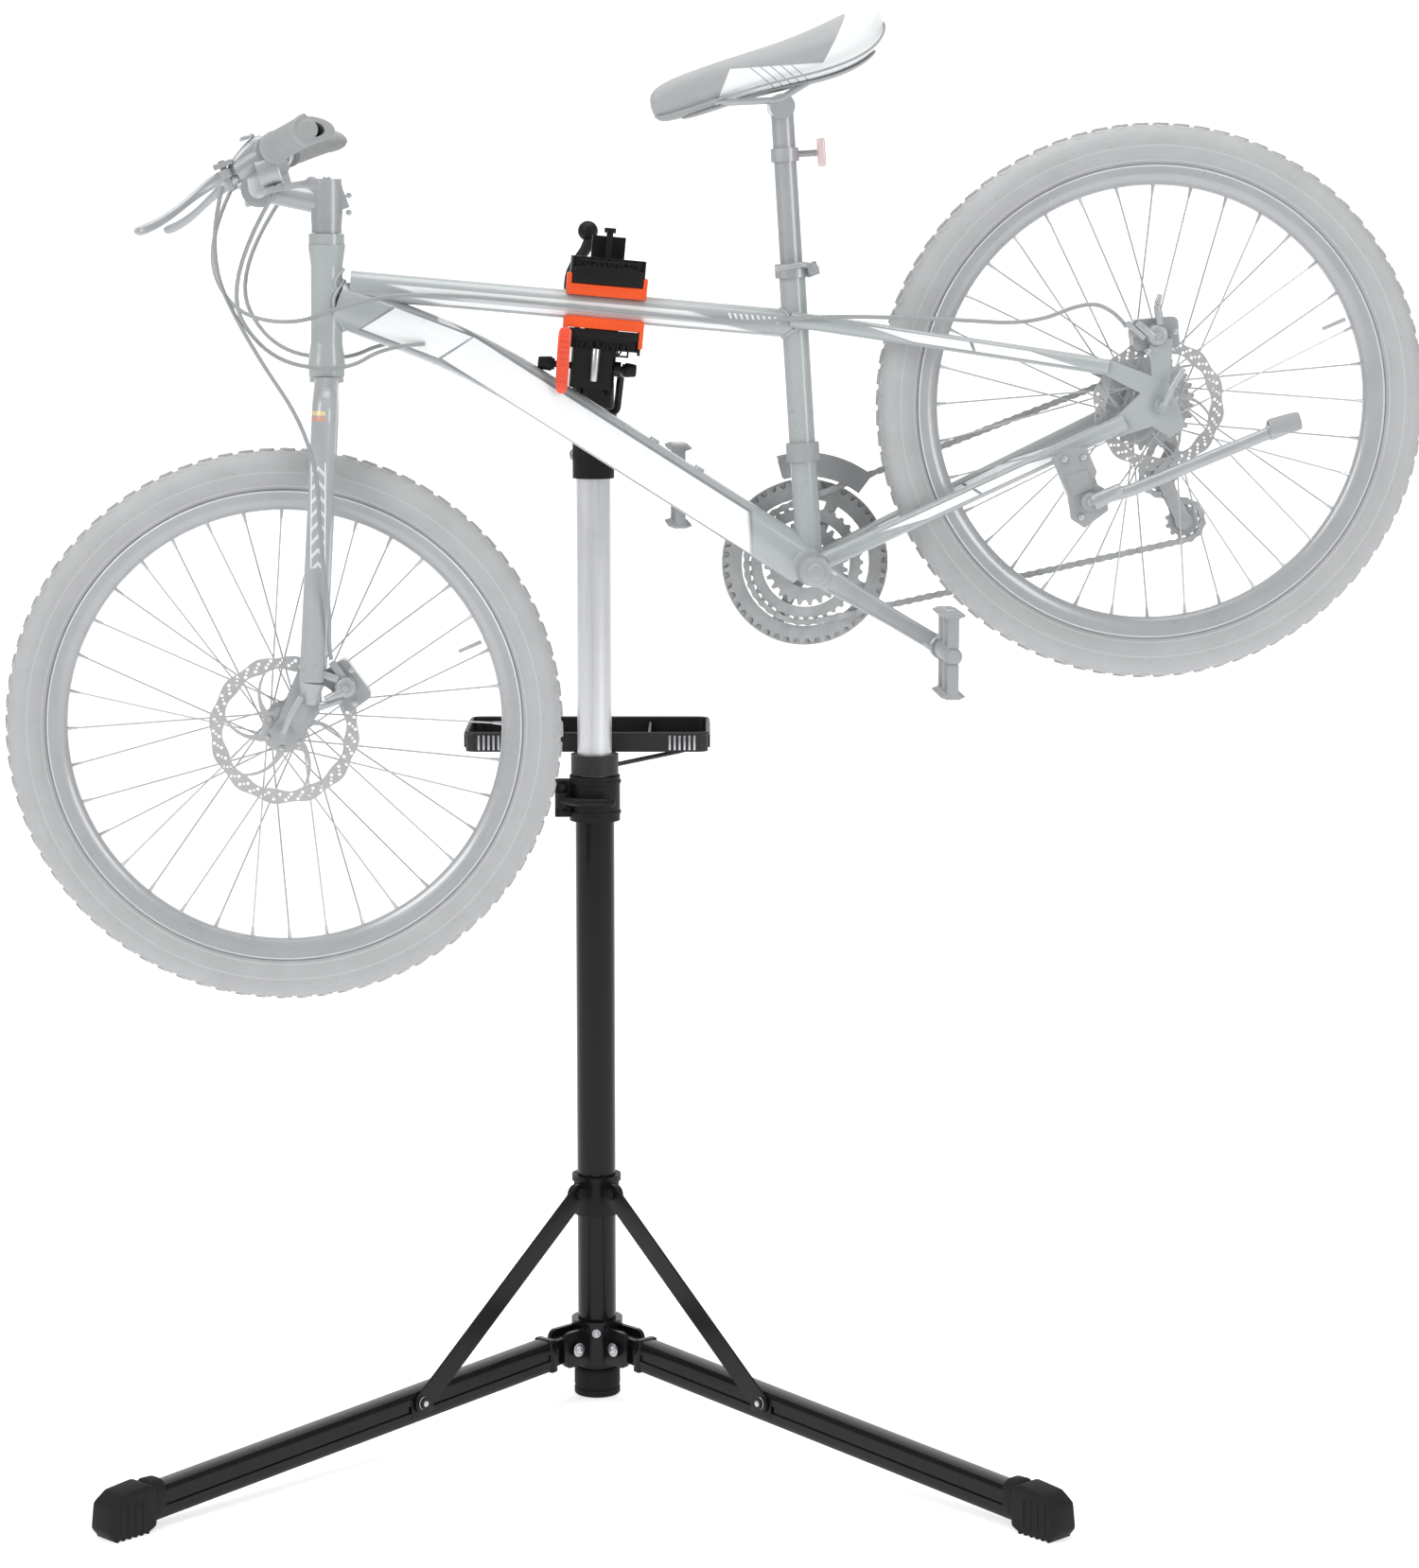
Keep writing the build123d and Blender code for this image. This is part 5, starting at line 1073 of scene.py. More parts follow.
# %% [markdown]
# ## Saddle
# A saddle is foam on a shell, under a tight skin, so it is a crowned closed form. It is grown through
# rounded sections from nose to tail: narrow and deep at the nose, wide and flat behind. A subdivision
# surface then gives the skin its tension. The foam is firm, so no simulation is needed to make it sag.

# %% Saddle body
def named_as(obj, name):
    obj.name = obj.data.name = name
    return obj


saddle_sections = [(9, 6, 577, 572), (11, 13, 589, 562), (17, 17, 597, 557), (36, 20, 602, 554),
                   (70, 23, 604, 552),
                   (105, 27, 603, 551), (140, 35, 601, 549), (172, 48, 599, 545), (204, 63, 599, 540),
                   (236, 75, 601, 538), (264, 79, 604, 541), (284, 71, 605, 550), (296, 52, 602, 562),
                   (301, 24, 596, 574)]
ring_count = 20


def saddle_ring(x, half, top, low):
    """One section: crowned above, with sides that tuck in under the skirt."""
    ring = []
    for i in range(ring_count):
        a = 2 * math.pi * (i + 0.5) / ring_count
        c, s = math.cos(a), math.sin(a)
        side = math.copysign(abs(c) ** 0.72, c)
        rise = math.copysign(abs(s) ** 0.85, s)
        tuck = 1.0 - 0.22 * max(0.0, -rise)
        crown = (top + low) / 2 + rise * (top - low) / 2
        groove = 2.2 * math.exp(-(side * half / 9) ** 2) * max(0.0, rise) if 60 < x < 250 else 0
        ring.append((x, side * half * tuck, crown - groove))
    return ring


saddle = grown("saddle", [saddle_ring(*s) for s in saddle_sections], levels=2)
print("saddle", [round(c / mm) for c in saddle.dimensions], "mm")

# %% [markdown]
# The skin is sewn from two colours: a darker top that runs to the nose, and pale side panels with four
# thin diagonal lines. The border is a curve in the side view, built from a few straight masks. The
# leather-like grain is a Voronoi cell pattern that feeds the bump.

# %% Saddle skin
skin = Finish("saddle_skin", (160, 162, 163), 0.5, mottle=0.05, wear=0.1, worn=(180, 181, 182), fine=1300,
              coarse=30, depth=0.12, Sheen_Weight=0.15)
cells = skin.tree.nodes.new("ShaderNodeTexVoronoi")
cells.feature = "DISTANCE_TO_EDGE"
cells.inputs["Scale"].default_value = 620
skin.tree.links.new(skin.place, cells.inputs["Vector"])
skin.height = math_node(skin.tree, "MULTIPLY_ADD", cells.outputs["Distance"], 1.4, skin.height)
spot = skin.tree.nodes.new("ShaderNodeSeparateXYZ")
skin.tree.links.new(skin.bike_point(), spot.inputs[0])
sx, sz = spot.outputs["X"], spot.outputs["Z"]


def below_line(tree, x, z, x0, z0, x1, z1, soft=0.8):
    """A mask that is 1 under the line through two points of the side view."""
    slope = (z1 - z0) / (x1 - x0)
    edge = math_node(tree, "MULTIPLY_ADD", x, slope, z0 - slope * x0)
    gap = math_node(tree, "SUBTRACT", edge, z)
    return math_node(tree, "MULTIPLY_ADD", gap, soft, 0.5, clamp=True)


front_part = math_node(skin.tree, "MINIMUM", below_line(skin.tree, sx, sz, 84, 558, 112, 590),
                       below_line(skin.tree, sx, sz, 112, 588, 215, 557))
rear_part = below_line(skin.tree, sx, sz, 212, 556, 262, 604)
pale_mask = math_node(skin.tree, "MAXIMUM", front_part, rear_part)
skin.colour = mix(skin.tree, pale_mask, skin.colour, linear((232, 235, 235)))
for k in range(5):
    skin.decal((150, 160, 166), (143 + 10.5 * k, 0, 566 - 2.2 * k), 58, (27, 200, 0.75), edge=3,
               within=pale_mask)
tail_edge = math_node(skin.tree, "SUBTRACT", 1.0,
                      math_node(skin.tree, "ABSOLUTE",
                                math_node(skin.tree, "MULTIPLY_ADD", pale_mask, 2.0, -1.0)))
skin.height = math_node(skin.tree, "MULTIPLY_ADD", tail_edge, -2.5, skin.height)
mats["saddle_skin"] = skin.link()
finish_piece(saddle, "seat", "saddle_skin", ["saddle"])

# %% [markdown]
# Under the skin's edge sits the moulded shell, and a row of piping covers the seam. The piping is one
# closed tube that follows the widest line of the sections.

# %% Piping and shell
low_line = [(x, half * 0.93, low + (top - low) * 0.16) for x, half, top, low in saddle_sections[1:]]
loop = low_line + [(x, -y, z) for x, y, z in reversed(low_line)]
piping = hose("saddle_piping", loop, 1.5, cyclic=True, sides=3)
finish_piece(piping, "seat", "grip_rubber")
base = grown("saddle_shell", [[(x, y, z) for y, z in ((-half * 0.62, low + 4), (half * 0.62, low + 4),
                                                       (half * 0.5, low - 3), (-half * 0.5, low - 3))]
                              for x, half, top, low in saddle_sections[3:12]], levels=2)
finish_piece(base, "seat", "bike_plastic")
lens = box("seat_reflector", -4.8, 4.8, -24.8, 24.8, -16.8, 16.8, 3.0)
edit(lens)
pick(lens, lambda m, n: n.x > 0.9)
bpy.ops.mesh.inset(thickness=0.0025, depth=-0.0012)
done()
seat_angle = math.radians(73.5)
reflector_at = (492 * math.cos(seat_angle) + 42 * math.sin(seat_angle), 0,
                492 * math.sin(seat_angle) - 42 * math.cos(seat_angle))
red = Finish("reflector", (205, 176, 178), 0.16, mottle=0.03, fine=700, coarse=60, depth=0.02,
             Coat_Weight=0.8)
prism = red.tree.nodes.new("ShaderNodeTexVoronoi")
prism.inputs["Scale"].default_value = 420
prism.inputs["Randomness"].default_value = 0.0
red.tree.links.new(red.place, prism.inputs["Vector"])
red.add_height(prism.outputs["Distance"], 22)
red.colour = mix(red.tree, prism.outputs["Distance"], red.colour, linear((222, 200, 201)))
mats["reflector"] = red.link()
finish_piece(lens, "seat", "reflector", (),
             bike_place @ Matrix.Translation(Vector(reflector_at) * mm)
             @ Matrix.Rotation(math.radians(16.5), 4, "Y"))

# %% [markdown]
# ## Cockpit
# The grips have a palm wing that widens towards the bar's end, and rows of ribs. A grip is turned on a
# lathe with its ribs in the outline, and the wing is then drawn out of it by moving the rear side back.

# %% Grips
def bar_point(y):
    side = 1 if y > 0 else -1
    a, b = Vector((-446, 96 * side, 681)), Vector((-374, 305 * side, 684))
    return a.lerp(b, (abs(y) - 96) / 209), (b - a).normalized()


def grip(side):
    outline = [(11.2, 0), (18, 0), (18.4, 1), (18.4, 5), (17.6, 6.4)]
    for k in range(25):
        s = 8 + 4.9 * k
        outline += [(16.0, s), (17.1, s + 0.8), (17.1, s + 3.0), (16.0, s + 3.8)]
    outline += [(16.6, 131), (18.0, 132.5), (18.0, 137.5), (16.4, 139), (11.2, 139)]
    made = lathe("grip", outline, axis="Z", steps=40)
    for v in made.data.vertices:
        s = v.co.z / mm
        wing = max(0.0, (s - 45) / 94)
        if v.co.x > 0:
            v.co.x *= 1 + 0.75 * wing ** 1.4
            v.co.y *= 1 - 0.18 * wing
    plug = lathe("plug", [(0.4, 134), (11.4, 134), (11.4, 139), (9.6, 140.4), (0.4, 140.8)], axis="Z",
                 steps=40)
    made = joined("grip", [made, plug])
    start, along = bar_point(side * 178)
    back = Vector((1, 0, -0.35))
    back = (back - along * back.dot(along)).normalized()
    turn = Matrix((back, along.cross(back), along)).transposed().to_4x4()
    settle(made, Matrix.Translation(start * mm) @ turn)
    return made


finish_piece(joined("grips", [grip(-1), grip(1)]), "steering", "grip_rubber", ["grips"])

# %% [markdown]
# Brake levers are cast blades: a broad knuckle, a waist for the fingers and a rounded tip that curves
# forward. Each blade is grown along its curve through oval sections.

# %% Brake levers
for side, name in ((-1, "left"), (1, "right")):
    line = [((-482, 152, 674), 8.5, 5.0), ((-496, 155, 671), 9.0, 5.2), ((-514, 164, 666), 7.4, 4.6),
            ((-530, 178, 660), 5.6, 4.0), ((-548, 196, 653), 5.8, 4.0), ((-566, 214, 648), 6.6, 4.4),
            ((-580, 227, 646), 7.0, 5.0), ((-590, 236, 646), 7.6, 5.6), ((-596, 241, 647), 4.0, 3.2)]
    sections = []
    for i, (p, wide, deep) in enumerate(line):
        q, r = line[max(0, i - 1)][0], line[min(len(line) - 1, i + 1)][0]
        along = (Vector(r) - Vector(q)).normalized()
        along.y *= side
        up = Vector((0, 0, 1))
        cross = along.cross(up).normalized()
        up = cross.cross(along).normalized()
        sections.append(oval((p[0], side * p[1], p[2]), up, cross, wide * 0.82, deep, 12, 0.8))
    blade = grown("brake_lever_" + name, sections, levels=2)
    smooth(blade, 60)
    eye = lathe("eye", [(4.1, -5), (8, -5), (9, -4), (9, 4), (8, 5), (4.1, 5)], axis="Z", steps=32)
    settle(eye, Matrix.Translation((-482 * mm, side * 152 * mm, 674 * mm)))
    finish_piece(joined("brake_lever_" + name, [blade, eye]), "brake_lever_" + name[0], "bike_alloy",
                 ["brake_lever_" + name])

# %% [markdown]
# Round the levers sit the small things: a barrel adjuster where each brake cable starts, the gear pods
# with their indicator windows, the stem's face bolts and the headset's top bolt. Adjusters and bolts are
# turned, and the pods are rounded blocks.

# %% Cockpit details
pod_turn = 0.33
head_angle = math.radians(69)
details = []
for side in (-1, 1):
    p, along = bar_point(side * 150)
    details.append(bar("adjuster", (-484, side * 133, 668), (-493, side * 118, 664), 5.6, 4.6, 16, 0.8))
    pod = box("pod", -20, 20, -15, 15, -8, 8, 5.0)
    pod_place = Matrix.Translation((p + Vector((-14, side * -14, -14))) * mm)
    pod_place = pod_place @ Matrix.Rotation(side * pod_turn, 4, "Z")
    settle(pod, pod_place)
    window = box("window", -9, 9, -5, 5, 7.4, 8.8, 1.0)
    settle(window, pod_place)
    details += [pod, window]
finish_piece(joined("gear_pods", details), "steering", "bike_plastic")
bodies = []
for side in (-1, 1):
    p, along = bar_point(side * 140)
    wedge = [(Vector((4, 0, 2)), 13, 19), (Vector((-10, 0, 3)), 15, 20),
             (Vector((-26, side * 2, 0)), 12, 17),
             (Vector((-42, side * 6, -6)), 7.5, 11), (Vector((-50, side * 8, -9)), 5, 7)]
    bodies.append(grown("body",
                        [oval(p + at, (0, 1, 0), (0.2, 0, 1), across, up, 16, 0.75)
                         for at, across, up in wedge],
                        levels=1))
    cap = lathe("cap", [(0.5, 0), (9, 0), (9, 3), (7.4, 4.6), (0.5, 4.6)], axis="Z", steps=32)
    settle(cap, Matrix.Translation((p + Vector((-14, side * 1.0, 21))) * mm))
    bodies.append(cap)
finish_piece(joined("brake_bodies", bodies), "steering", "bike_alloy")
bolts = []
axis_dir = Vector((math.cos(head_angle), 0, math.sin(head_angle)))
head_foot = Vector((-458, 0, 428))
ahead = Vector((-axis_dir.z, 0, axis_dir.x))
for s in (180, 200):
    middle = head_foot + axis_dir * s - ahead * 26
    bolts.append(bar("bolt", middle - Vector((0, 11, 0)), middle + Vector((0, 11, 0)), 3.6, sides=12,
                     soft=0.8))
top = head_foot + axis_dir * 219
bolts.append(lathe("top_bolt", [(0.6, -1), (4.6, -1), (5, 1.6), (3.6, 3), (2.4, 3), (2.2, 1.4), (0.6, 1.4)],
                   axis="Z", steps=24))
settle(bolts[-1], Matrix.Translation(top * mm) @ Matrix.Rotation(math.radians(21), 4, "Y"))
for y in (-13, 13):
    for z in (-14, 14):
        bolts.append(bar("bolt", (-474, y, 648 + z * 0.8), (-480, y, 648 + z * 0.8), 3.4, sides=12,
                         soft=0.8))
finish_piece(joined("stem_bolts", bolts), "steering", "hub_steel")

# %% [markdown]
# ## Cables
# The control cables are clamped at both ends. The three that go from the bar to the frame would have to
# give way when the bars turn; here each is a fixed curve that runs from the steering above down along the
# frame below, with a smooth bend between. Their line is one smooth curve. Along the frame it lies where the
# engineering model's does, and it goes on to the bar, where the exact cables stop short so that the bar can
# turn.

# %% Cables
cable_r = 2.5
frame_cables = {
    "cable_rear_brake": [(-494, 120, 663), (-548, 104, 612), (-545, 16, 528), (-480, -32, 486),
                         (-410, -36, 487), (-330, -20.2, 474.1), (-150, -20.2, 388.0),
                         (30, -20.2, 299.8), (92, -34, 286), (160, -52, 262), (250, -66, 226),
                         (340, -80, 186), (412, -84, 190), (440, -76, 164), (446, -72.5, 144)],
    "cable_gear_rear": [(-440, 142, 634), (-530, 122, 570), (-520, 74, 470), (-440, 40, 424),
                        (-380, 30, 430), (-340, 22.9, 412)],
    "cable_gear_front": [(-440, -142, 634), (-534, -120, 560), (-520, -72, 460), (-440, -40, 414),
                         (-384, -30, 426), (-340, -22.9, 412)],
}
for name, points in frame_cables.items():
    made = hose(name, points, cable_r, sides=3)
    settle(made, bike_place)
    made.data.materials.append(mats["cable"])
    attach(made, "bike_frame")
    made.parent = None
    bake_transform(made)
    if name == "cable_rear_brake":
        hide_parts("cables_frame")
front_cable = hose("cable_front_brake",
                   [(-490, -126, 665), (-538, -112, 600), (-532, -90, 490), (-499, -84.5, 352),
                    (-540, -84, 226), (-556, -78, 156), (-572, -65, 120), (-575, -62, 103.5)],
                   cable_r, sides=3)
finish_piece(front_cable, "steering", "cable", ["cable_fork"])

# %% [markdown]
# Welds show where the frame's tubes meet. A bead lies on the line where one tube runs into another, so
# its points are found there: a ring on the first tube, slid along it until it touches the second. The
# tube that follows them swells and shrinks as a stack-of-coins weld does.

# %% Weld beads
def slide_to(point, along, foot, axis, r):
    """The point slid along a direction until it lies on a cylinder; the nearer of the two hits."""
    axis = axis.normalized()
    w = point - foot
    w = w - axis * w.dot(axis)
    d = along - axis * along.dot(axis)
    a, b, c = d.dot(d), 2 * w.dot(d), w.dot(w) - r * r
    gap = b * b - 4 * a * c
    if gap < 0:
        t = -b / (2 * a)
    else:
        roots = [(-b - math.sqrt(gap)) / (2 * a), (-b + math.sqrt(gap)) / (2 * a)]
        t = min(roots, key=abs)
    return point + along * t


def weld(name, start, along, wide, high, foot, axis, r, size=2.0, count=72):
    """A bead where a tube from start meets the cylinder about foot."""
    start, along, foot, axis = Vector(start), Vector(along).normalized(), Vector(foot), Vector(axis)
    across = Vector((0, 1, 0)) - along * along.y
    across.normalize()
    up = along.cross(across)
    dots = []
    for i in range(count):
        t = 2 * math.pi * i / count
        dots.append(slide_to(start + across * (wide * math.cos(t)) + up * (high * math.sin(t)), along, foot,
                             axis, r))
    return hose(name, dots, size, cyclic=True, sides=2, swell=lambda i: 1.0 + 0.28 * (i % 2))


seat_axis = Vector((math.cos(seat_angle), 0, math.sin(seat_angle)))
top_dir = Vector((482, 0, -228)).normalized()
beads = [weld("bead", Vector((-398, 0, 507)) + top_dir * 22, -top_dir, 17, 17, head_foot, axis_dir, 19.6),
         weld("bead", Vector((84, 0, 279)) - top_dir * 44, top_dir, 17, 17, (0, 0, 0), seat_axis, 15.9),
         weld("bead", (-376, 0, 454.3), (-132, 0, 113), 18.6, 27.5, head_foot, axis_dir, 20.4, 2.2),
         weld("bead", (-48, 0, 62.9), (284, 0, -374), 22, 20.0, (0, 0, 0), (0, 1, 0), 21, 2.2),
         weld("bead", seat_axis * 50, -seat_axis, 15.9, 15.9, (0, 0, 0), (0, 1, 0), 21)]
finish_piece(joined("weld_beads", beads), "bike_frame", "frame_paint")

# %% [markdown]
# ## Calipers and kickstand bracket
# A cable disc caliper is a cast body with an actuating arm, a cable horn and its bolts. Each is built from
# tapered bars and turned caps about the caliper's own middle, once for the front and once for the rear.

# %% Caliper details
def caliper_parts(x, z, y, angle):
    lean = Matrix.Translation(Vector((x, y, z)) * mm) @ Matrix.Rotation(-math.radians(angle), 4, "Y")
    horn = [bar("horn", (-14, -22, 6), (-22, -24, 34), 4.6, 3.4, 16, 1.0),
            bar("horn", (10, -22, 8), (20, -24, 30), 5.4, 4.2, 16, 1.0),
            bar("tip", (20, -24, 30), (30, -24, 38), 4.0, 3.0, 12, 0.8),
            bar("arm", (-4, -25, 0), (-12, -26, 26), 6.0, 4.0, 16, 1.2),
            bar("cap", (0, -22, 0), (0, -29, 0), 13.0, 11.0, 32, 1.6),
            bar("boss", (0, -29, 0), (0, -31.5, 0), 5.0, 4.2, 6, 0.4)]
    screws = [bar("screw", (a, -20.5, b), (a, -24.5, b), 3.6, sides=12, soft=0.8)
              for a, b in ((-20, -9), (20, -9))]
    return [settle(joined("caliper", horn), lean), settle(joined("screws", screws), lean)]


for name, body, at in (("front", "steering", (-571, 66.6, -41, 74.4)),
                       ("rear", "bike_frame", (477, 122, -52.5, 15.3))):
    arms, screws = caliper_parts(*at)
    finish_piece(named_as(arms, name + "_caliper_arm"), body, "bike_alloy")
    finish_piece(named_as(screws, name + "_caliper_screws"), body, "hub_steel")
faceplate = plate("face",
                  [(308, 30), (330, 36), (352, 28), (354, -4), (346, -14), (356, -26), (352, -52),
                   (318, -62), (306, -46), (312, -18)],
                  -86.5, 4)
soften(faceplate, 1.4, 2, 30)
knuckle = bar("knuckle", (336, -95, -36), (374, -97, -32), 10.5, 7.5, 20, 2.0)
finish_piece(joined("kickstand_bracket", [faceplate, box("step", 316, 344, -90, -86, -22, 4, 1.6)]),
             "bike_frame", "bike_plastic")
finish_piece(named_as(knuckle, "kickstand_knuckle"), "stand_kick", "bike_alloy")
dots = [bar("bolt", (a, -88, b), (a, -91.5, b), 3.8, sides=12, soft=0.9)
        for a, b in ((322, 24), (344, 18), (318, -48))]
finish_piece(joined("bracket_bolts", dots), "bike_frame", "hub_steel")
tip = lathe("tip", [(6.8, 0), (9.6, 0), (11.2, 4), (11.6, 30), (10.4, 38), (0.5, 40), (0.5, 36), (6.8, 34)],
            axis="Z", steps=32)
finish_piece(named_as(tip, "kickstand_tip"), "stand_kick", "grip_rubber", (),
             bike_place @ Matrix.Translation(Vector((562, -100, -26.0)) * mm)
             @ Matrix.Rotation(math.radians(96), 4, "Y"))

# %% [markdown]
# ## Clamp
# The jaws are glass-filled nylon with a lattice of ribs, faced with orange rubber pads. A pad is a
# rounded block with a trough for the tube and lips that wrap round the jaw's ends. The trough is cut
# with a Boolean, because the real pad is moulded against a round former.

# %% Pads
def jaw_pad(name, sign):
    slab = box("slab", -47.5, 47.5, -23, 22, sign * 12.5, sign * 26, 2.4)
    lips = [box("lip", x - 2.6, x + 2.6, -23.4, 20, sign * 14, sign * (46 if sign < 0 else 38), 2.0)
            for x in (-45, 45)]
    former = bar("former", (-60, 0, 0), (60, 0, 0), 17.1, sides=64)
    use(slab, "BOOLEAN", object=former, operation="DIFFERENCE", solver="EXACT")
    bpy.data.objects.remove(former)
    grooves = [box("ridge", -40 + 8 * k, -37.6 + 8 * k, -23.6, -22.4, sign * 21, sign * 24, 0.4)
               for k in range(10)]
    made = joined(name, [slab] + lips + grooves)
    smooth(made, 40)
    return made


finish_piece(jaw_pad("pad_lower", -1), "bike_frame", "orange_pad", ["pad_lower"], clamp_place)
finish_piece(jaw_pad("pad_upper", 1), "jaw", "orange_pad", ["pad_upper"], clamp_place)

# %% [markdown]
# The lattice on each jaw's face is a row of upright ribs with diagonals between them, under a top rail.
# One bay is modelled and the others are copies. The lower jaw also carries a bright bolt.

# %% Jaw ribs, bolt and knobs
def lattice(name, z0, z1, bays, x0, step, face=-22.5):
    parts = [box("rail", x0 - 1, x0 + step * bays + 1, face, face + 3, z0, z0 + math.copysign(3, z1 - z0),
                 0.6),
             box("rail", x0 - 1, x0 + step * bays + 1, face, face + 3, z1, z1 - math.copysign(2.4, z1 - z0),
                 0.6)]
    for k in range(bays + 1):
        x = x0 + step * k
        parts.append(box("rib", x - 1.1, x + 1.1, face, face + 4, z0, z1, 0.5))
        if k < bays:
            a, b = (z0, z1) if k % 2 else (z1, z0)
            parts.append(bar("brace", (x, face + 1.6, a), (x + step, face + 1.6, b), 1.1, sides=8))
    return joined(name, parts)


lower_ribs = joined("ribs_low", [lattice("truss", -37, -57, 5, -31, 12.4),
                                 box("band", -42, 42, -22, -17, -26.5, -37.5, 1.4)])
end_ribs = [box("web", x - 1, x + 1, -18, 20, -32, -54, 0.5) for x in (-44.6, 44.6)]
finish_piece(joined("jaw_ribs_lower", [lower_ribs] + end_ribs), "bike_frame", "black_plastic",
             (), clamp_place)
upper_ribs = lattice("truss", 45, 55, 6, -34, 11.4)
band = box("band", -42.2, 42.2, -23, -17, 26.5, 45.5, 2.0)
finish_piece(joined("jaw_ribs_upper", [upper_ribs, band]), "jaw", "black_plastic", (),
             clamp_place)
bolt = bar("clamp_bolt", (-7, -25.4, -49), (-7, -25.4, -88), 5.0, 4.2, 24, 1.0)
finish_piece(bolt, "bike_frame", "screw", (), clamp_place)
knobs = []
for x0, x1 in ((-57, -74), (30, 44)):
    knob = bar("knob", (x0, 0, -72), (x1, 0, -72), 9.0, 7.4, 12, 1.6)
    stem_bar = bar("neck", (x0 - math.copysign(3, x1 - x0), 0, -72),
                   (x0 + math.copysign(2, x1 - x0), 0, -72), 5.4, sides=20)
    knobs += [knob, stem_bar]
finish_piece(joined("clamp_knobs", knobs), "bike_frame", "black_plastic", (), clamp_place)

# %% [markdown]
# The strap is a translucent rubber band with a moulded rib pattern. It hangs beside the head block with
# its end free, and is a strip grown from station to station with a slight belly in it.

# %% Rubber strap
strap_line = [(-45.0, -25.0, -26), (-45.6, -27.0, -36), (-45.6, -28.0, -52), (-45.2, -28.6, -72),
              (-44.6, -28.0, -92), (-44.0, -27.0, -107)]
sections = []
for i, (x, y, z) in enumerate(strap_line):
    w = 8.4 if i < 5 else 7.0
    sections.append([(x + a * w, y + b * 1.3, z) for a, b in ((-1, -1), (1, -1), (1, 1), (-1, 1))])
strip = grown("strip", sections, levels=2)
ribs = [box("rib", -51.4, -39.2, -30.6 + 0.1 * abs(k - 4), -27.4, -42 - 6.6 * k, -39.2 - 6.6 * k, 0.5)
        for k in range(9)]
finish_piece(joined("clamp_strap", [strip] + ribs), "bike_frame", "strap", ["clamp_strap"],
             clamp_place)

# %% [markdown]
# The tilt lever is a cranked casting with a ball on its end. The crank is grown through oval sections,
# and the ball is a sphere drawn into a short neck where it joins.

# %% Tilt lever
z0 = 1449
line = [((-31, 4, z0 + 4), 13, 6.4), ((-31, 14, z0 + 20), 10, 6.2), ((-28, 26, z0 + 38), 8.8, 6.6),
        ((-16, 35, z0 + 54), 9.2, 8.2), ((-4, 40, z0 + 68), 9.0, 8.6), ((-3, 43, z0 + 82), 6.8, 6.8)]
arm = grown("arm", [oval(p, (0, 0.86, -0.5), (1, 0, 0), a, b, 14, 0.85) for p, a, b in line], levels=1)
clean()
bpy.ops.mesh.primitive_uv_sphere_add(segments=32, ring_count=20, radius=13 * mm,
                                     location=(-4 * mm, 44 * mm, (z0 + 89) * mm))
ball = settle(named("ball"))
edit(ball)
pick(ball, lambda m, n: n.z < -0.93)
bpy.ops.mesh.inset(thickness=0.0008, depth=0.0006)
done()
smooth(ball, 60)
hub = lathe("hub", [(6.2, -6), (14, -6), (15, -5), (15, 5), (14, 6), (6.2, 6)], steps=36)
settle(hub, Matrix.Translation((-30 * mm, 0, z0 * mm)) @ Matrix.Rotation(math.radians(90), 4, "Z"))
finish_piece(joined("head_lever", [arm, ball, hub]), "head_lever_body", "black_plastic",
             ["head_lever"], head_place)

# %% [markdown]
# ## Legs and feet
# The legs are extruded tubes with a groove along each flank, which is what catches the light in two long
# lines. The section is drawn once, with its grooves, and extruded along the leg.

# %% Grooved legs
drop = math.degrees(math.asin(48 / 770))
half_outline = [(0, 21), (8.6, 21), (12.6, 19.6), (14.4, 16.4), (15, 12), (15, 5.0), (12.6, 3.4),
                (12.6, -3.4), (15, -5.0), (15, -12), (14.4, -16.4), (12.6, -19.6), (8.6, -21)]
leg_section = half_outline + [(0, -21)] + [(-y, z) for y, z in reversed(half_outline[1:])]


def leg_tilt():
    pivot = Vector((55, 0, 74)) * mm
    return (Matrix.Translation(pivot) @ Matrix.Rotation(math.radians(drop), 4, "Y")
            @ Matrix.Translation(Vector((-55, 0, 0)) * mm))


for side, name, body in ((-1, "left", "leg_l"), (1, "right", "leg_r")):
    tube = grown("tube", [[(x, y, z) for y, z in leg_section] for x in (89, 90.5, 774, 775)])
    smooth(tube, 24)
    tongue = box("tongue", 55, 92, -10, 10, -17, 17, 1.0)
    nose = lathe("nose", [(5.1, -10), (16, -10), (17, -9), (17, 9), (16, 10), (5.1, 10)], steps=36)
    settle(nose, Matrix.Translation((55 * mm, 0, 0)))
    collar = box("collar", 88, 100, -16.2, 16.2, -22.2, 22.2, 3.0)
    lug_y = -side * 15
    lug = box("lug", 309, 345, min(lug_y, lug_y - side * 0.4), max(lug_y, lug_y - side * 0.4), -11, 11,
              0.15)
    finish_piece(joined("leg_" + name, [tube, tongue, nose, collar, lug]), body, "black_paint",
                 ["leg_" + name], leg_place(side) @ leg_tilt())

# %% [markdown]
# A rubber foot is an angular cap, moulded with chamfers and a row of tread bars underneath. Its side
# view is extruded across, the corners are bevelled, and a raised band is inset on top where the leg
# enters.

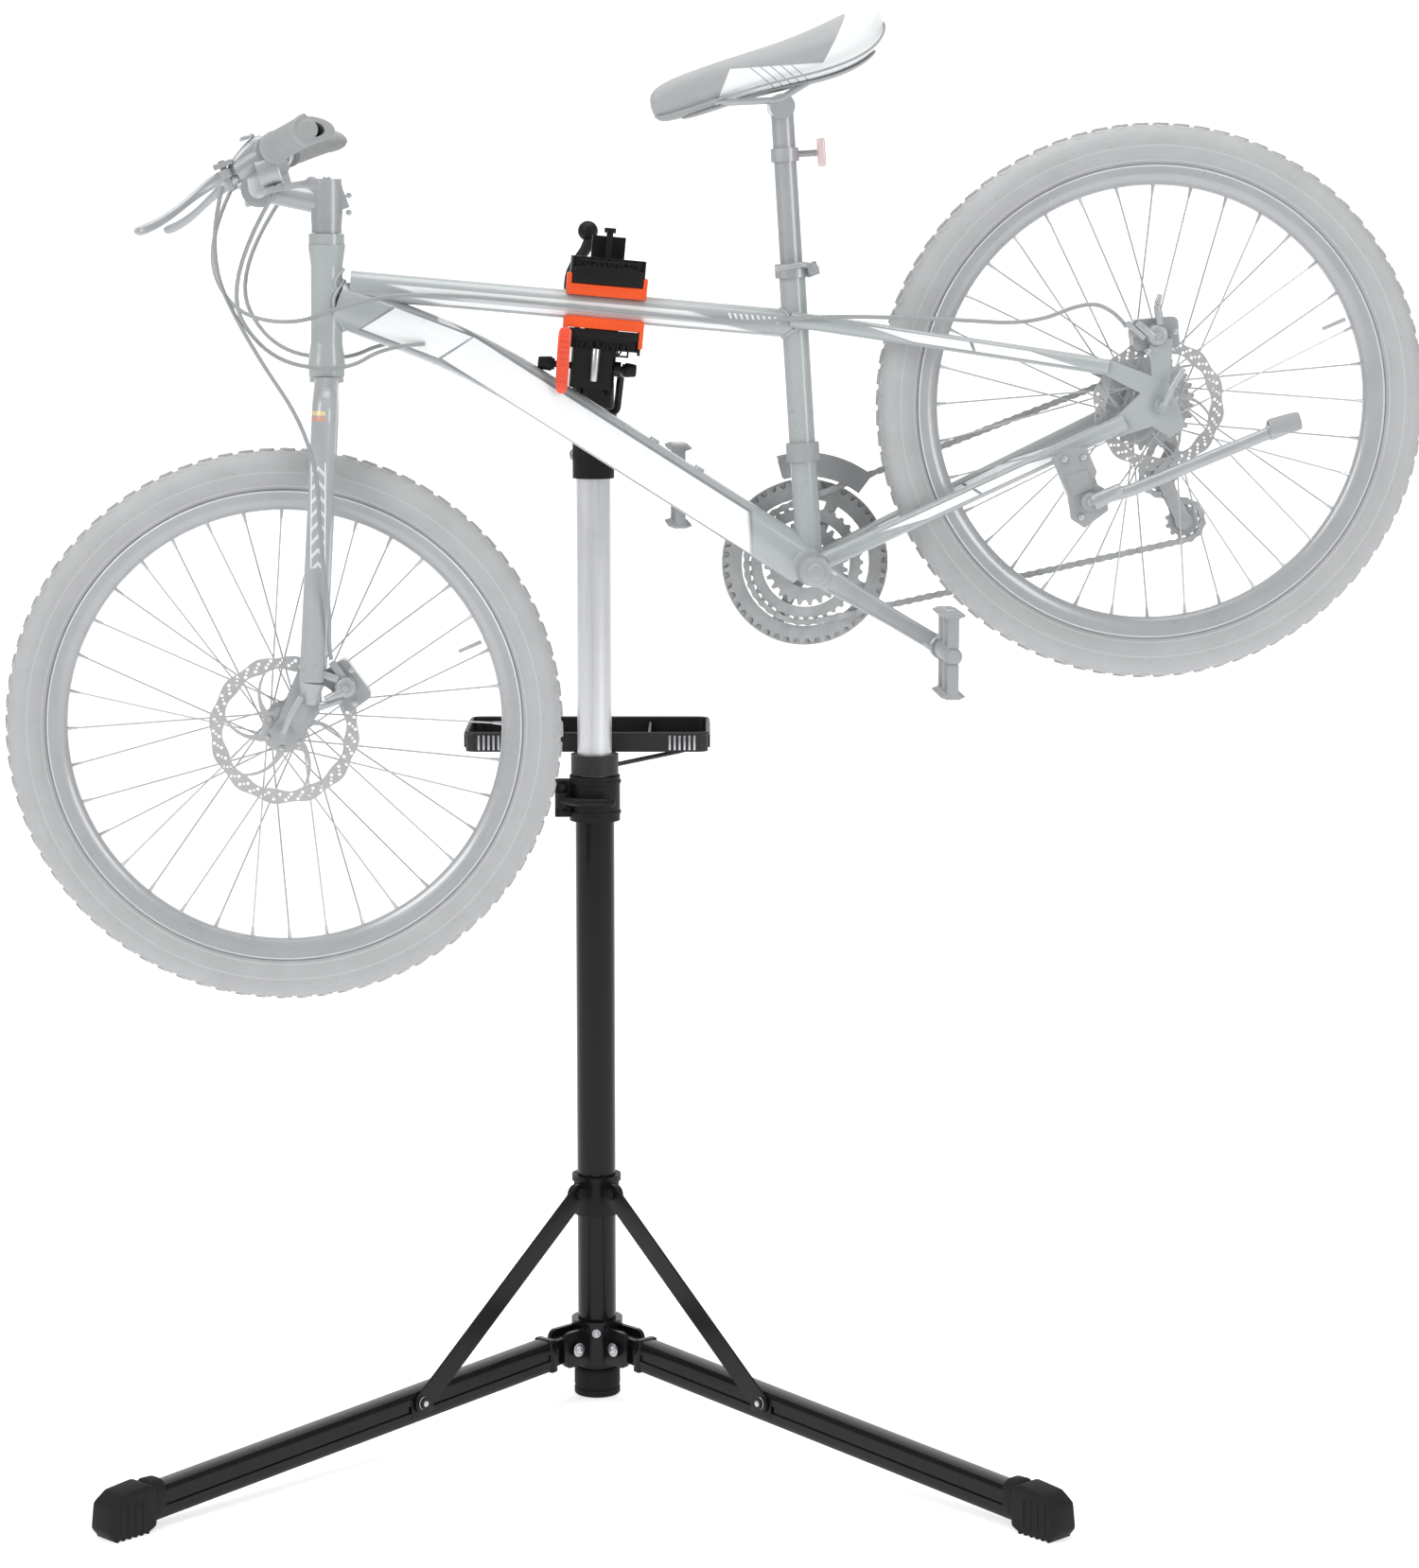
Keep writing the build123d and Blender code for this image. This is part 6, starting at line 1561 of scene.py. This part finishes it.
# %% Rubber feet
foot_outline = [(753, 6), (767, 0), (815, 0), (825, 12), (821, 44), (803, 56), (763, 60), (753, 52)]
for side, name, body in ((-1, "left", "leg_l"), (1, "right", "leg_r")):
    cap = plate("cap", foot_outline, 0, 40)
    soften(cap, 5.0, 3, 25)
    band = grown("band", [oval((x, 0, 36 - 0.06 * (x - 753)), (0, 1, 0), (0, 0, 1), w, w * 1.28, 24, 0.62)
                          for x, w in ((739, 17.6), (741, 18.4), (755, 19.4), (760, 17))])
    treads = [box("tread", 766 + 9 * k, 770 + 9 * k, -19.6, 19.6, -0.2, 3, 0.8) for k in range(6)]
    flutes = [box("flute", 772 + 11 * k, 776 + 11 * k, -20.8, 20.8, 8, 44, 0.9) for k in range(4)]
    finish_piece(joined("leg_foot_" + name, [cap, band] + treads + flutes), body, "rubber",
                 ["leg_foot_" + name], leg_place(side))

foot = lathe("foot_cap",
             [(22, 0.4), (29, 0.4), (30.5, 2), (30.5, 9), (29.3, 10), (29.3, 13), (30.5, 14), (30.5, 31),
                          (30, 34.5), (28, 37.4), (25.5, 38), (25.5, 9), (22, 8)], axis="Z", steps=72)
finish_piece(foot, "stand_base", "rubber", ["foot_cap"], None)

# %% [markdown]
# Last come the fasteners of the stand and the tray's edge: domed bolt heads at the pivots, the levers'
# washers, and the rolled rim and end grilles of the tray. They are small, but they are where the eye
# looks to see how the thing is put together.

# %% Stand fasteners
def dome(at, direction, r, high, place=None):
    """A domed, slotted bolt head that looks along a direction."""
    at, direction = Vector(at), Vector(direction).normalized()
    head = bar("head", at, at + direction * high, r, r * 0.62, 20, high * 0.3)
    washer = bar("washer", at - direction * 0.2, at + direction * 0.9, r * 1.35, r * 1.25, 28, 0.2)
    return settle(joined("dome", [head, washer]), place)


hub_bolts = [dome((55, y, 74), (0, y, 0), 7.0, 5.0, leg_place(side)) for side in (-1, 1)
             for y in (-22.4, 22.4)]
hub_bolts += [dome((34 * math.sin(t), -34 * math.cos(t), 90), (math.sin(t), -math.cos(t), 0), 4.4, 3)
              for t in (0, math.radians(180))]
finish_piece(joined("hub_bolts", hub_bolts), "stand_base", "screw", (), None)
for side, name in ((-1, "left"), (1, "right")):
    ends = [dome((327, -side * 20.2, 62), (0, -side, 0), 6.4, 4.2, leg_place(side))]
    finish_piece(joined("strut_bolt_" + name, ends), "strut_" + name[0], "screw", (), None)
clamp_bolts = [dome((-42, 19.2, 804), (0, 1, 0), 6.0, 4.0),
               bar("nut", (-42, 19, 804), (-42, 24, 804), 8, sides=6, soft=0.6)]
finish_piece(joined("column_bolts", clamp_bolts), "stand_base", "screw", (), None)
collar_rings = [lathe("ring", [(33.1, z - 2.4), (34.4, z - 1.6), (34.4, z + 1.6), (33.1, z + 2.4), (32, z)],
                      axis="Z", steps=72)
                for z in (786, 826)]
finish_piece(joined("collar_rings", collar_rings), "stand_base", "black_plastic", (), None)
head_screws = [dome((27.4 * s, 0, z), (s, 0, 0), 5.6, 3.6) for s in (-1, 1) for z in (1252, 1300)]
finish_piece(joined("head_screws", head_screws), "mast", "screw", (), head_place)

# %% [markdown]
# The tray's rim is a rolled edge: one closed tube round its top. The grilles at its ends are upright
# bars between two rails.

# %% Tray rim and grilles
x0, x1, y0, y1, z1 = -172, 148, 46, 211, 882
corner = 14
rim_points = []
for cx, cy, first in ((x1 - corner, y1 - corner, 0), (x0 + corner, y1 - corner, 90),
                      (x0 + corner, y0 + corner, 180), (x1 - corner, y0 + corner, 270)):
    for k in range(5):
        t = math.radians(first + 22.5 * k)
        rim_points.append((cx + corner * math.cos(t), cy + corner * math.sin(t), z1))
rim_tube = hose("rim", rim_points, 2.4, cyclic=True, sides=3)
grille = []
for gx in (x0 - 1.4, x1 + 1.4):
    for k in range(9):
        y = y0 + 24 + 14.5 * k
        grille.append(box("bar", gx - 1.4, gx + 1.4, y - 2.4, y + 2.4, 861, 880, 0.8))
front_slots = [box("bar", xx - 1.6, xx + 1.6, y0 - 2.2, y0 + 0.6, 860.5, 880, 0.7)
               for xx in [x0 + 18 + 6.5 * k for k in range(6)] + [x1 - 18 - 6.5 * k for k in range(6)]]
finish_piece(joined("tray_rim", [rim_tube] + grille), "tray_body", "tray_plastic", (), None)
finish_piece(joined("tray_slots", front_slots), "tray_body", "screw", (), None)

# %% [markdown]
# ## Camera, floor and light
# The stand is shown as in a shop's catalogue: from the front, at the clamp's height, with a long lens, so
# that the wheels stay round. The floor and the wall behind it are one pale, softly glowing backdrop. Three
# softboxes give the tubes their long highlights: a strong one on the left, a weaker one on the right and a
# wide one overhead.

# %% Camera, floor and light
def aim(obj, target):
    direction = Vector(target) - obj.location
    obj.rotation_euler = direction.to_track_quat("-Z", "Y").to_euler()


camera = bpy.data.objects.new("camera", bpy.data.cameras.new("camera"))
bpy.context.collection.objects.link(camera)
camera.location = (0.150, -5.0, 1.553)
aim(camera, (0.150, 0, 0.822))
camera.data.lens = 88.7
camera.data.clip_end = 60
bpy.context.scene.camera = camera

clean()
bpy.ops.mesh.primitive_plane_add(size=14, location=(0, 1.6, 0))
floor = named("floor")
settle(floor)
clean()
bpy.ops.mesh.primitive_plane_add(size=14, location=(0, 8.4, 6.9), rotation=(math.radians(90), 0, 0))
wall = settle(named("wall"))
pale = bpy.data.materials.new("pale_floor")
pale.use_nodes = True
pale.node_tree.nodes["Principled BSDF"].inputs["Base Color"].default_value = (0.86, 0.86, 0.87, 1)
pale.node_tree.nodes["Principled BSDF"].inputs["Roughness"].default_value = 0.85
pale.node_tree.nodes["Principled BSDF"].inputs["Emission Color"].default_value = (1, 1, 1, 1)
pale.node_tree.nodes["Principled BSDF"].inputs["Emission Strength"].default_value = 0.55
for backdrop in (floor, wall):
    backdrop.data.materials.append(pale)


def softbox(name, at, target, size, power):
    lamp = bpy.data.lights.new(name, "AREA")
    lamp.shape = "RECTANGLE"
    lamp.size, lamp.size_y = size
    lamp.energy = power
    obj = bpy.data.objects.new(name, lamp)
    bpy.context.collection.objects.link(obj)
    obj.location = at
    aim(obj, target)


softbox("key_left", (-3.0, -2.6, 3.4), (0, -0.2, 1.0), (1.6, 2.6), 80)
softbox("fill_right", (3.2, -2.8, 2.4), (0, -0.2, 1.0), (1.2, 2.6), 50)
softbox("overhead", (0, -0.4, 4.2), (0, -0.2, 0.8), (3.0, 2.0), 60)
world = bpy.data.worlds.new("studio")
world.use_nodes = True
world.node_tree.nodes["Background"].inputs["Color"].default_value = (1, 1, 1, 1)
world.node_tree.nodes["Background"].inputs["Strength"].default_value = 0.46
bpy.context.scene.world = world
bpy.context.scene.view_settings.view_transform = "Standard"

# %% Finishes on the engineering parts
cad_finish = {
    "black_paint": ["column_tube", "leg_left", "leg_right"],
    "dark_paint": ["strut_left", "strut_right", "leg_hub"],
    "black_plastic": ["sleeve", "column_clamp", "mast_head", "head_knuckle", "clamp_body", "upper_jaw",
                      "column_lever", "head_lever"],
    "black_metal": ["clamp_lever"],
    "rubber": ["foot_cap", "leg_foot_left", "leg_foot_right"],
    "tray_plastic": ["tool_tray"],
    "mast_alloy": ["mast_tube", "arm_tube"],
    "orange_pad": ["pad_lower", "pad_upper", "clamp_strap"],
    "frame_paint": ["frame_front", "frame_rear"],
    "fork_paint": ["fork"],
    "bike_alloy": ["stem", "handlebar", "seat_post", "seat_clamp", "seat_lever", "kickstand", "crank_arms",
                   "front_caliper", "rear_caliper", "lever_mounts", "brake_lever_left",
                   "brake_lever_right"],
    "hub_steel": ["front_hub", "rear_hub"],
    "chain_steel": ["chain", "cassette", "chainrings", "derailleur_cage"],
    "bike_plastic": ["derailleurs", "pulley_guide", "pulley_tension", "shift_lever_left",
                     "shift_lever_right", "pedal_left", "pedal_right", "saddle"],
    "grip_rubber": ["grips"],
    "cable": ["cables_frame", "cable_fork"],
    "front_tyre": ["front_tyre"], "rear_tyre": ["rear_tyre"],
    "front_rim": ["front_rim"], "rear_rim": ["rear_rim"],
}
for finish, names in cad_finish.items():
    for name in names:
        if name not in nodes or nodes[name].hide_render:
            continue
        mesh = nodes[name].data
        mesh.materials.clear()
        mesh.materials.append(mats[finish])
print("finished", sum(len(n) for n in cad_finish.values()), "engineering parts")
